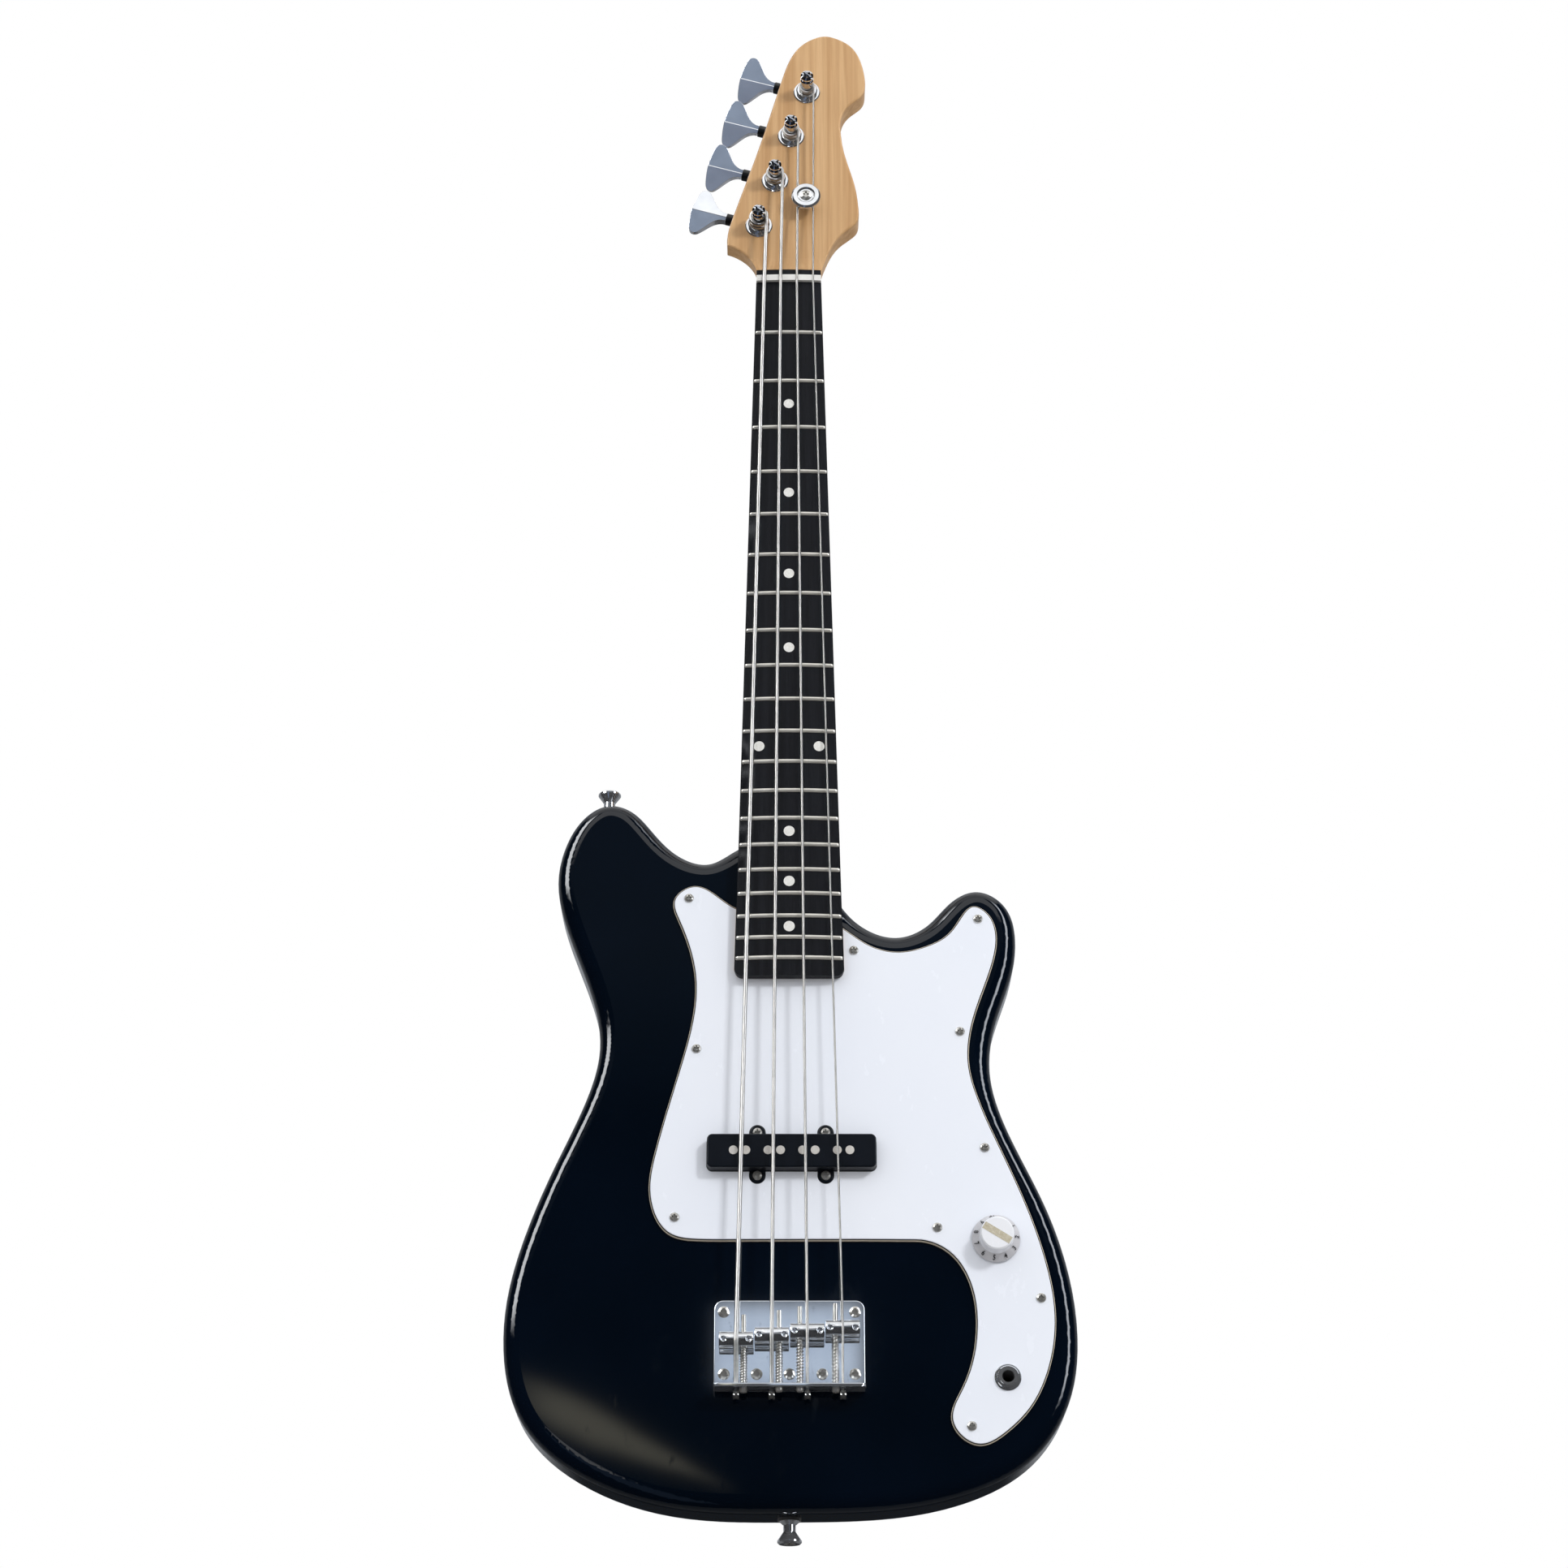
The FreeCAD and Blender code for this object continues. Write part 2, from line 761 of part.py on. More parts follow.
heel = slab(heel_wire(0, 0, heel_top), heel_thickness)

head_right = [vec(x, 0, z) for x, z in map(on_head, head_right_shares)]
head_left = [vec(x, 0, z) for x, z in map(on_head, head_left_shares)]
low_right = vec(top_half, 0, board_top)
low_left = vec(-top_half, 0, board_top)
head_edges = [
    curve([low_right] + head_right[1:]),
    curve(head_left[:-1] + [low_left]),
    Part.makeLine(low_left, low_right),
]
head = slab(Part.Wire(head_edges), head_back)
ramp_length = math.sqrt(head_ramp_radius ** 2 - (head_ramp_radius - head_drop) ** 2)
ramp_end = board_top + ramp_length
ramp_turn = math.asin(ramp_length / head_ramp_radius) / 2
ramp_middle_y = head_face - head_ramp_radius * (1 - math.cos(ramp_turn))
ramp_middle = vec(0, ramp_middle_y, ramp_end - head_ramp_radius * math.sin(ramp_turn))
ramp_start_point = vec(0, 0, board_top)
ramp_end_point = vec(0, head_face, ramp_end)
clear_front = -head_back
ramp_wire = Part.Wire([
    Part.Arc(ramp_start_point, ramp_middle, ramp_end_point).toShape(),
    Part.makePolygon([ramp_end_point, vec(0, head_face, 2 * head_length), vec(0, clear_front, 2 * head_length),
                      vec(0, clear_front, board_top), ramp_start_point]),
])
ramp = Part.Face(ramp_wire).extrude(right * (4 * head_width))
ramp.translate(right * (-2 * head_width))
ramp_part = head.cut(ramp).common(box(-head_width, head_width, 0, head_back, board_top, ramp_end))
face_wire = Part.Wire(head_edges)
face_wire.translate(back * head_face)
head = slab(face_wire, head_thickness)
face_edges = [e for e in flat_edges(head, head_face) if e.BoundBox.ZLength > head_edge_radius]
head = head.makeFillet(head_edge_radius, face_edges).fuse(ramp_part).removeSplitter()
blend_top = board_top + head_blend
flare_section = neck_section(blend_top, head_width, head_back, heel_roundness)
flare = Part.makeLoft([shaft_sections[0], flare_section], True, True)
upper = box(-head_width, head_width, 0, head_back, blend_top, 2 * head_length)
head = head.common(flare.fuse(upper))
neck = fused([shaft, blend, heel, head])

# Truss rod, set from the heel end

rod_low = heel_end + truss_nut_length
truss_rod = rod(vec(0, truss_rod_depth, rod_low), vec(0, truss_rod_depth, -truss_rod_top), truss_rod_diameter)
truss_nut = rod(vec(0, truss_rod_depth, heel_end), vec(0, truss_rod_depth, rod_low), truss_nut_diameter)
truss_key = box(-truss_nut_key / 2, truss_nut_key / 2, truss_rod_depth - truss_nut_key / 2,
                truss_rod_depth + truss_nut_key / 2, heel_end, heel_end + truss_nut_length / 2)
truss_nut_solid = truss_nut.cut(truss_key)

# Body blank with rounded edges on both faces

body_points = [vec(x, body_front, z) for x, z in map(on_body, body_outline_shares)]
body = slab(Part.Wire([curve(body_points, closed=True)]), body_thickness)
body_blank = body.makeFillet(body_edge_radius, flat_edges(body, body_front) + flat_edges(body, body_back))

# Pickguard with its bevel

guard_points = [vec(x, guard_top, z) for x, z in map(on_body, guard_outline_shares)]
guard = slab(Part.Wire([curve(guard_points, closed=True)]), guard_thickness)
guard = guard.makeChamfer(guard_bevel, flat_edges(guard, guard_top))
guard_screw_places = [on_body(shares) for shares in guard_screw_shares]
beside_neck_z = on_body((0, guard_neck_screw_share))[1]
guard_screw_places.append((half_width(beside_neck_z) + guard_neck_screw_gap, beside_neck_z))
guard_screws = [aimed(small_screw, vec(x, guard_top, z), back) for x, z in guard_screw_places]

# Neck plate and neck screws

plate_low = board_end + neck_plate_inset
plate_high = plate_low + neck_plate_height
neck_plate_back = body_back + neck_plate_thickness
plate_half = neck_plate_width / 2
neck_plate = block(-plate_half, plate_half, plate_low, plate_high, body_back, neck_plate_back,
                   neck_plate_corner)
neck_screws = []
for x in (-plate_half + neck_screw_inset, plate_half - neck_screw_inset):
    for z in (plate_low + neck_screw_inset, plate_high - neck_screw_inset):
        neck_screws.append(aimed(neck_screw, vec(x, neck_plate_back, z), front))

# Pickup: cover with four ears, pole pieces, bobbin, coil and foam

pickup_x0 = pickup_offset - pickup_length / 2
pickup_x1 = pickup_offset + pickup_length / 2
pickup_z0 = pickup_z - pickup_width / 2
pickup_z1 = pickup_z + pickup_width / 2
ear_top = body_front - ear_thickness
ear_centres = [(pickup_offset + sx * ear_spacing_along / 2, pickup_z + sz * ear_spacing_across / 2)
               for sx in (-1, 1) for sz in (-1, 1)]


def pickup_outline(grow, y0, y1):
    corner = pickup_corner + grow
    return block(pickup_x0 - grow, pickup_x1 + grow, pickup_z0 - grow, pickup_z1 + grow, y0, y1, corner)


def ear_outlines(grow, y0, y1):
    ears = []
    for x, z in ear_centres:
        half = ear_diameter / 2 + grow
        ears.append(rod_y(x, z, y0, y1, 2 * half))
        ears.append(box(x - half, x + half, y0, y1, min(z, pickup_z), max(z, pickup_z)))
    return ears


cover = pickup_outline(0, pickup_top, pickup_base).fuse(ear_outlines(0, ear_top, body_front))
cover = cover.cut(pickup_outline(-pickup_wall, pickup_top + pickup_wall, pickup_base)).removeSplitter()
pickup_screws = [aimed(pickup_screw, vec(x, ear_top, z), back) for x, z in ear_centres]

pole_top = pickup_top - pole_proud
bobbin_back = pickup_base
bobbin_x0 = pickup_x0 + pickup_wall + bobbin_gap
bobbin_x1 = pickup_x1 - pickup_wall - bobbin_gap
bobbin_z0 = pickup_z0 + pickup_wall + bobbin_gap
bobbin_z1 = pickup_z1 - pickup_wall - bobbin_gap
upper_plate_y = pickup_top + pickup_wall
lower_plate_y = bobbin_back - bobbin_plate
bobbin_corner = pickup_corner - pickup_wall - bobbin_gap
bobbin_sides = (bobbin_x0, bobbin_x1, bobbin_z0, bobbin_z1)
upper_plate = block(*bobbin_sides, upper_plate_y, upper_plate_y + bobbin_plate, bobbin_corner)
lower_plate = block(*bobbin_sides, lower_plate_y, bobbin_back, bobbin_corner)
poles = []
pole_xs = []
for index in range(4):
    for side in (-1, 1):
        x = pickup_offset + (index - 1.5) * saddle_pitch + side * pole_pair_spacing / 2
        pole_xs.append(x)
        poles.append(rod_y(x, pickup_z, pole_top, bobbin_back, pole_diameter))
coil_half = pole_diameter / 2 + coil_gap
coil_outer = coil_half + coil_wall
coil_y0 = upper_plate_y + bobbin_plate


def coil_block(half):
    """Block round the row of poles, with nearly half-round ends."""
    return block(pole_xs[0] - half, pole_xs[-1] + half, pickup_z - half, pickup_z + half,
                 coil_y0, lower_plate_y, half * coil_end_share)


coil = coil_block(coil_outer).cut(coil_block(coil_half))
cover = cover.cut(poles + pickup_screws)
upper_plate = upper_plate.cut(poles)
lower_plate = lower_plate.cut(poles)
foam_back = body_front + pickup_cavity_depth
foam = block(*bobbin_sides, bobbin_back, foam_back, bobbin_corner)

# Volume pot under the pickguard, with its shaft and knob

pot_back = body_front + pot_height
pot_nut_top = guard_top - pot_nut_height
pot = rod_y(knob_x, knob_z, body_front, pot_back, pot_diameter)
pot = pot.fuse(rod_y(knob_x, knob_z, guard_top - pot_bushing_rise, body_front, pot_bushing_diameter))
wiper_front = body_front + pot_wall + wiper_clearance
wiper_back = wiper_front + wiper_height
hollow_back = wiper_back + wiper_clearance
pot_hollow = rod_y(knob_x, knob_z, body_front + pot_wall, hollow_back, pot_hollow_diameter)
shaft_bore = shaft_diameter + 2 * shaft_clearance
shaft_hole = rod_y(knob_x, knob_z, guard_top - pot_bushing_rise, hollow_back, shaft_bore)
tab_y = pot_back - pot_wall
pot_tabs = []
for side in (-1, 0, 1):
    x = knob_x + side * 2 * pot_tab_width
    pot_tabs.append(box(x - pot_tab_width / 2, x + pot_tab_width / 2, tab_y - pot_tab_thickness, tab_y,
                        knob_z, knob_z + pot_diameter / 2 + pot_tab_length))
pot_pocket = pot_hollow.fuse(shaft_hole)
pot = pot.fuse(pot_tabs).removeSplitter().cut(pot_pocket)
pot_nut = ring_y(knob_x, knob_z, pot_nut_top, guard_top, pot_nut_width, pot_bushing_diameter)

knob_base = guard_top - knob_lift
knob_top = knob_base - knob_height
shaft_top = knob_top + knob_wall
pot_shaft = rod_y(knob_x, knob_z, shaft_top, wiper_back, shaft_diameter)
wiper_diameter = pot_hollow_diameter - 2 * wiper_clearance
wiper = rod_y(knob_x, knob_z, wiper_front, wiper_back, wiper_diameter)
pot_shaft = pot_shaft.fuse(wiper).removeSplitter()
knob_r = knob_skirt_diameter / 2
knob_t = knob_top_diameter / 2
knob_hub = shaft_diameter / 2
hub_base = pot_nut_top - wiper_clearance - pot_bushing_rise
knob_inner = knob_t - knob_wall / 2
hub_height = knob_base - hub_base
knob_profile = [
    (knob_hub, knob_height - knob_wall), (0, knob_height - knob_wall), (0, knob_height),
    (knob_t - knob_edge, knob_height), (knob_t, knob_height - knob_edge),
    (knob_t * knob_flare_share, knob_skirt_height), (knob_r - knob_edge, knob_rim), (knob_r, knob_rim / 2),
    (knob_r, 0), (knob_inner, 0), (knob_inner, hub_height), (knob_hub, hub_height),
]
knob = turned(vec(knob_x, knob_base, knob_z), front, knob_profile)
strip = box(-knob_strip_length / 2, knob_strip_length / 2, knob_top - knob_strip_proud,
            knob_top + knob_strip_depth, -knob_strip_width / 2, knob_strip_width / 2)
strip.translate(vec(knob_x, 0, knob_z))
strip.rotate(vec(knob_x, 0, knob_z), back, knob_strip_angle)
knob = knob.cut(strip)

# Output jack under the pickguard

bore_r = jack_bore / 2
barrel_r = jack_barrel_diameter / 2
sleeve_r = jack_sleeve_diameter / 2
flange_r = jack_flange_diameter / 2
jack_front = guard_top - jack_proud
jack_back = body_front + jack_depth
jack = turned(vec(jack_x, 0, jack_z), back, [
    (bore_r, jack_front), (barrel_r, jack_front), (barrel_r, body_front), (flange_r, body_front),
    (flange_r, body_front + jack_flange), (sleeve_r, body_front + jack_flange), (sleeve_r, jack_back),
    (bore_r, jack_back)])
jack_washer_y = guard_top - jack_washer
jack_nut_y = jack_washer_y - jack_nut
nut_edge = jack_nut / 3
nut_r = jack_nut_diameter / 2
washer_r = jack_washer_diameter / 2
washer_edge = jack_washer / 2
jack_nut_solid = turned(vec(jack_x, 0, jack_z), back, [
    (barrel_r, jack_nut_y), (nut_r - nut_edge, jack_nut_y), (nut_r, jack_nut_y + nut_edge),
    (nut_r, jack_washer_y), (barrel_r, jack_washer_y)])
jack_washer_solid = turned(vec(jack_x, 0, jack_z), back, [
    (barrel_r, jack_washer_y), (washer_r - washer_edge, jack_washer_y), (washer_r, jack_washer_y + washer_edge),
    (washer_r, guard_top), (barrel_r, guard_top)])
leaf_x0 = jack_x + sleeve_r + jack_leaf
leaf_x1 = leaf_x0 + jack_leaf
leaf_back = jack_back + jack_leaf_reach
leaf_z0 = jack_z - jack_leaf_width / 2
leaf_z1 = jack_z + jack_leaf_width / 2
leaf = box(leaf_x0, leaf_x1, body_front + jack_flange, leaf_back, leaf_z0, leaf_z1)
leaf_foot = box(jack_x + bore_r + jack_leaf, leaf_x1, leaf_back - jack_leaf, leaf_back, leaf_z0, leaf_z1)
leaf = leaf.fuse(leaf_foot).removeSplitter()

# Leads: pickup to pot, pot to jack tip and sleeve

lead_y = pot_back + lead_depth
pickup_lead_points = [vec(pole_xs[-1], bobbin_back, pickup_z), vec(pole_xs[-1], lead_y, pickup_z),
                      vec(knob_x, lead_y, knob_z), vec(knob_x, pot_back, knob_z)]
pickup_lead = tube(bent_edges(pickup_lead_points, [lead_bend, lead_bend]), lead_diameter)
leads = [pickup_lead]
foam = foam.cut(pickup_lead)
for side in (-1, 1):
    pot_lead_x = knob_x + side * lead_offset
    jack_lead_x = jack_x + side * (bore_r + sleeve_r) / 2
    lead_points = [vec(pot_lead_x, pot_back, knob_z), vec(pot_lead_x, lead_y, knob_z),
                   vec(jack_lead_x, lead_y, jack_z), vec(jack_lead_x, jack_back, jack_z)]
    leads.append(tube(bent_edges(lead_points, [lead_bend, lead_bend]), lead_diameter))

# Bridge: bent plate, screws, saddles, intonation screws and springs

bridge_half = bridge_width / 2
bridge_corners = [vec(-bridge_half, bridge_top, bridge_rear), vec(bridge_half, bridge_top, bridge_rear),
                  vec(bridge_half, bridge_top, bridge_front), vec(-bridge_half, bridge_top, bridge_front)]
bridge_floor = slab(rounded_wire(bridge_corners, [0, 0, bridge_corner, bridge_corner]), bridge_plate)
lip_top = bridge_top - bridge_lip_height
lip_wire = rounded_wire([vec(-bridge_half, lip_top, bridge_rear), vec(bridge_half, lip_top, bridge_rear),
                         vec(bridge_half, body_front, bridge_rear), vec(-bridge_half, body_front, bridge_rear)],
                        [bridge_lip_corner, bridge_lip_corner, 0, 0])
lip = Part.Face(lip_wire).extrude(up * bridge_lip)
bridge = bridge_floor.fuse(lip).removeSplitter()
bridge_screw_places = [(side * bridge_screw_half_span, bridge_front - bridge_screw_front) for side in (-1, 1)]
for step in (-2, -1, 0, 1, 2):
    bridge_screw_places.append((step * bridge_screw_pitch, bridge_rear + bridge_screw_rear))
bridge_screw = cross_screw(
    bridge_screw_head_diameter, small_head_height, small_shank_diameter, small_screw_length)
bridge_screws = [aimed(bridge_screw, vec(x, bridge_top, z), back) for x, z in bridge_screw_places]

thread_bore = intonation_diameter + 2 * saddle_thread_gap
saddles = []
intonation_screws = []
springs = []
saddle_places = []
lip_holes = []
for index, diameter in enumerate(string_diameters):
    x = (index - 1.5) * saddle_pitch
    z = saddle_line - saddle_setback_e + index * saddle_setback_step
    crest_drop = board_radius - math.sqrt(board_radius ** 2 - x ** 2)
    y = -saddle_height + saddle_diameter / 2 + crest_drop
    screw_x = x + math.copysign(intonation_offset, -x)
    saddle_places.append((x, y, z))
    half = (saddle_pitch - saddle_gap) / 2
    barrel = rod(vec(x - half, y, z), vec(x + half, y, z), saddle_diameter)
    grubs = []
    for side in (-1, 1):
        grub_x = x + side * grub_spacing / 2
        grub_top = y - saddle_diameter / 2 + grub_socket
        grub = rod_y(grub_x, z, grub_top, bridge_top, grub_diameter)
        barrel = barrel.cut(rod_y(grub_x, z, y - saddle_diameter, bridge_top, grub_diameter))
        grubs.append(grub.cut(rod_y(grub_x, z, grub_top, grub_top + grub_socket_depth, grub_socket)))
    thread = rod(vec(screw_x, y, z - saddle_diameter), vec(screw_x, y, z + saddle_diameter), thread_bore)
    saddles.append([barrel.cut(thread)] + grubs)
    tip = z + saddle_diameter / 2 + intonation_proud
    head_r = intonation_head_diameter / 2
    shank_r = intonation_diameter / 2
    screw = turned(vec(screw_x, y, bridge_rear), up, [
        (0, -intonation_head), (head_r * intonation_edge_share, -intonation_head),
        (head_r, -intonation_head / 2), (head_r, 0), (shank_r, 0),
        (shank_r, tip - bridge_rear), (0, tip - bridge_rear)])
    slot_z0 = bridge_rear - intonation_head
    slot_z1 = slot_z0 + intonation_head / 2
    reach = head_r * head_cross_share
    arm = intonation_cross / 2
    screw = screw.cut([box(screw_x - reach, screw_x + reach, y - arm, y + arm, slot_z0, slot_z1),
                       box(screw_x - arm, screw_x + arm, y - reach, y + reach, slot_z0, slot_z1)])
    intonation_screws.append(screw)
    lip_holes.append(rod(vec(screw_x, y, bridge_rear), vec(screw_x, y, lip_front), thread_bore))
    spring_low = lip_front + spring_wire / 2 + spring_end_gap
    spring_high = z - saddle_diameter / 2 - spring_wire / 2 - spring_end_gap
    spring_r = intonation_diameter / 2 + spring_clearance + spring_wire / 2
    coil_pitch = (spring_high - spring_low) / spring_turns
    nodes = helix_nodes(vec(screw_x, y, spring_low), up, right, spring_r, coil_pitch, spring_turns, 2)
    edges = coil_edges(nodes)
    lead_in = Part.makeLine(nodes[0][0] - nodes[0][1] * spring_wire, nodes[0][0])
    lead_out = Part.makeLine(nodes[-1][0], nodes[-1][0] + nodes[-1][1] * spring_wire)
    edges = [lead_in] + edges + [lead_out]
    springs.append(tube(edges, spring_wire))
    tell("spring " + string_names[index], springs[-1], edges, spring_wire, edges)

# Tuner places along the headstock

line_angle = math.radians(tuner_line_angle)
tuner_line = vec(math.sin(line_angle), 0, math.cos(line_angle))
key_way = vec(-math.cos(line_angle), 0, math.sin(line_angle))
post_places = [vec(tuner_x, 0, tuner_z) + tuner_line * (tuner_pitch * index) for index in range(4)]
bushing_top = head_face - tuner_washer - tuner_nut
plate_back = head_back + plate_thickness
gear_pitch_r = gear_teeth * gear_module / 2
worm_distance = gear_pitch_r + worm_pitch_diameter / 2
worm_pitch = math.pi * gear_module
gear_front = plate_back + gear_lift
gear_back = gear_front + gear_width
worm_y = (gear_front + gear_back) / 2

# Strings: ball end, lip hole, saddle, nut, and windings on the post

strings = []
string_cutters = []
string_holes = []
for index, (nut_x, nut_y, diameter) in enumerate(string_rows):
    saddle_x, saddle_y, saddle_z = saddle_places[index]
    half = diameter / 2
    hole_y = bridge_top - string_hole_rise
    rest_r = saddle_diameter / 2 + string_saddle_gap + half
    rear_point = (hole_y, bridge_rear)
    front_touch = tangent_point((nut_y, 0), (saddle_y, saddle_z), rest_r, 1)
    rear_touch = tangent_point(rear_point, (saddle_y, saddle_z), rest_r, -1)
    crest_y, crest_z = crossing((nut_y, 0), front_touch, rear_point, rear_touch)
    ball_drop = ball_diameter / 2 + ball_gap
    ball_y = hole_y + (hole_y - rear_touch[0]) / (rear_touch[1] - bridge_rear) * ball_drop
    ball_z = bridge_rear - ball_drop
    points = [vec(saddle_x, ball_y, ball_z), vec(saddle_x, crest_y, crest_z), vec(nut_x, nut_y, 0)]
    bends = [rest_r, string_bend]
    winding_pitch = diameter + winding_gap
    wind_r = post_diameter / 2 + winding_clearance + half
    wind_y = bushing_top - winding_clearance - half - winding_turns * winding_pitch
    post = post_places[index]
    from_x, from_z = nut_x, 0
    if index > 1:
        touch = tangent_point((nut_x, 0), (post.x, post.z), wind_r, 1)
        from_z = retainer_z - retainer_diameter / 2
        from_x = nut_x + (touch[0] - nut_x) * from_z / touch[1]
        points.append(vec(from_x, head_face - retainer_height + retainer_string_gap + half, from_z))
        bends.append(string_bend)
    touch = tangent_point((from_x, from_z), (post.x, post.z), wind_r, 1)
    points.append(vec(touch[0], wind_y, touch[1]))
    edges = bent_edges(points, bends)
    start_way = (vec(touch[0], 0, touch[1]) - post).normalize()
    last = edges[-1]
    wind_centre = vec(post.x, wind_y, post.z)
    winding = helix_nodes(wind_centre, front, start_way, wind_r, -winding_pitch, winding_turns, 4)
    winding[0] = (winding[0][0], last.tangentAt(last.LastParameter))
    turn_edges = coil_edges(winding)
    end_point, end_way = winding[-1]
    inward = (vec(post.x, end_point.y, post.z) - end_point).normalize()
    bend_r = diameter * winding_bend_share
    flat_way = vec(end_way.x, 0, end_way.z).normalize()
    bend_end = end_point + flat_way * bend_r + inward * bend_r
    tail_edges = biarc(end_point, end_way, bend_end, inward)
    tail_edges.append(Part.makeLine(bend_end, bend_end + inward * winding_tail))
    edges += turn_edges + tail_edges
    whole = tube(edges, diameter)
    ball_way = right * (ball_length / 2)
    ball_middle = vec(saddle_x, ball_y, ball_z)
    ball = rod(ball_middle - ball_way, ball_middle + ball_way, ball_diameter)
    strings.append([whole, ball.cut(whole)])
    string_cutters.append(tube(tail_edges, diameter + 2 * winding_clearance))
    hole_place = vec(saddle_x, hole_y, bridge_rear)
    hole_way = (vec(saddle_x, rear_touch[0], rear_touch[1]) - hole_place).normalize() * bridge_lip
    string_holes.append(rod(hole_place - hole_way, hole_place + hole_way * 2, diameter + 2 * string_hole_gap))
    tell("string " + string_names[index], whole, edges, diameter, turn_edges + tail_edges)

nut = nut.cut([solids[0] for solids in strings])
bridge = bridge.cut(lip_holes + string_holes + bridge_screws)

# Tuners: post with wheel, worm shaft with key, bushing, plate and collar



def tuner_block(place, along_key, along_line, radius, depth):
    """Block with its sides along a tuner's key and along the row of tuners."""
    corners = []
    for s, n in ((0, 0), (1, 0), (1, 1), (0, 1)):
        corners.append(place + key_way * along_key[s] + tuner_line * along_line[n])
    return slab(rounded_wire(corners, [radius] * 4), depth)


posts = []
keys = []
bushings = []
plates = []
collars = []
tuner_screws = []
worm_low = -worm_turns / 2 * worm_pitch
for index, post_place in enumerate(post_places):
    x, z = post_place.x, post_place.z
    post_r = post_diameter / 2
    tang_r = post_r * post_tang_share
    sleeve_inner = post_r + post_clearance
    rim_r = tuner_nut_diameter / 2
    disc_r = tuner_washer_diameter / 2
    sleeve_r = tuner_sleeve_diameter / 2
    washer_front = head_face - tuner_washer
    bushings.append(turned(vec(x, 0, z), back, [
        (sleeve_inner, bushing_top), (rim_r - tuner_nut / 3, bushing_top), (rim_r, bushing_top + tuner_nut / 3),
        (rim_r, washer_front), (disc_r - tuner_washer / 2, washer_front),
        (disc_r, head_face - tuner_washer / 2),
        (disc_r, head_face), (sleeve_r, head_face), (sleeve_r, head_back), (sleeve_inner, head_back)]))

    ring_y0 = head_face - post_neck_height
    waist_y0 = ring_y0 - post_ring
    bulb_y0 = waist_y0 - post_waist
    tip_y0 = bulb_y0 - post_bulb
    post_front = tip_y0 - post_tip
    ring_r = post_ring_diameter / 2
    waist_r = post_waist_diameter / 2
    bulb_r = post_bulb_diameter / 2
    dome_r = post_tip_diameter / 2
    post = turned(vec(x, 0, z), back, [
        (0, gear_back), (tang_r, gear_back), (tang_r, gear_front), (post_r, gear_front), (post_r, ring_y0),
        (ring_r, ring_y0), (ring_r, waist_y0), (waist_r, waist_y0), (waist_r, bulb_y0),
        (bulb_r, bulb_y0 - post_bulb / 3), (bulb_r, tip_y0 + post_bulb / 3), (dome_r, tip_y0),
        (dome_r * post_dome_share, post_front + post_tip / 3), (0, post_front)])
    slot = box(-post_bulb_diameter, post_bulb_diameter, post_front, post_front + post_slot_depth,
               -post_slot / 2, post_slot / 2)
    slot.rotate(vec(0, 0, 0), back, knob_strip_angle)
    slot.translate(vec(x, 0, z))
    post = post.cut([slot, string_cutters[index]])

    tip_r = gear_pitch_r + gear_module * gear_tip_share
    root_r = gear_pitch_r - gear_module * gear_root_share
    tooth_turn = full_turn / gear_teeth
    tooth_corners = ((root_r, -tooth_root_share), (tip_r, -tooth_tip_share),
                     (tip_r, tooth_tip_share), (root_r, tooth_root_share))
    outline = []
    for tooth in range(gear_teeth):
        for radius, share in tooth_corners:
            angle = (tooth + 0.5 + share) * tooth_turn
            way = tuner_line * math.cos(angle) + key_way * math.sin(angle)
            outline.append(vec(x, gear_front, z) + way * radius)
    outline.append(outline[0])
    gear = slab(Part.makePolygon(outline), gear_width).cut(rod_y(x, z, gear_front, gear_back, 2 * tang_r))
    gear_screw_r = gear_screw_diameter / 2
    gear_screw_back = gear_back + gear_screw
    gear_slot_y = gear_back + gear_screw / 2
    gear_screw_solid = turned(vec(x, 0, z), back, [
        (0, gear_back), (gear_screw_r, gear_back), (gear_screw_r, gear_slot_y),
        (gear_screw_r * gear_screw_dome_share, gear_screw_back), (0, gear_screw_back)])
    gear_slot = box(x - gear_screw_r, x + gear_screw_r, gear_slot_y, gear_screw_back,
                    z - gear_screw_slot / 2, z + gear_screw_slot / 2)
    posts.append([post, gear, gear_screw_solid.cut(gear_slot)])

    worm_centre = vec(x, worm_y, z) + tuner_line * worm_distance
    toward_gear = tuner_line * -1
    worm_start = worm_centre + key_way * worm_low
    worm_nodes = helix_nodes(worm_start, key_way, toward_gear * (-1) ** worm_turns,
                             worm_pitch_diameter / 2, worm_pitch, worm_turns, 4)
    thread = tube(coil_edges(worm_nodes), worm_thread_diameter)
    lug_inner = lug_place - lug_thickness / 2
    lug_outer = lug_place + lug_thickness / 2
    core_way = key_way * (lug_inner - key_shaft_clearance)
    core = rod(worm_centre - core_way, worm_centre + core_way, worm_core_diameter)
    leaf_start = collar_place + collar_length
    shaft = rod(worm_centre - key_way * lug_outer, worm_centre + key_way * leaf_start, key_shaft_diameter)

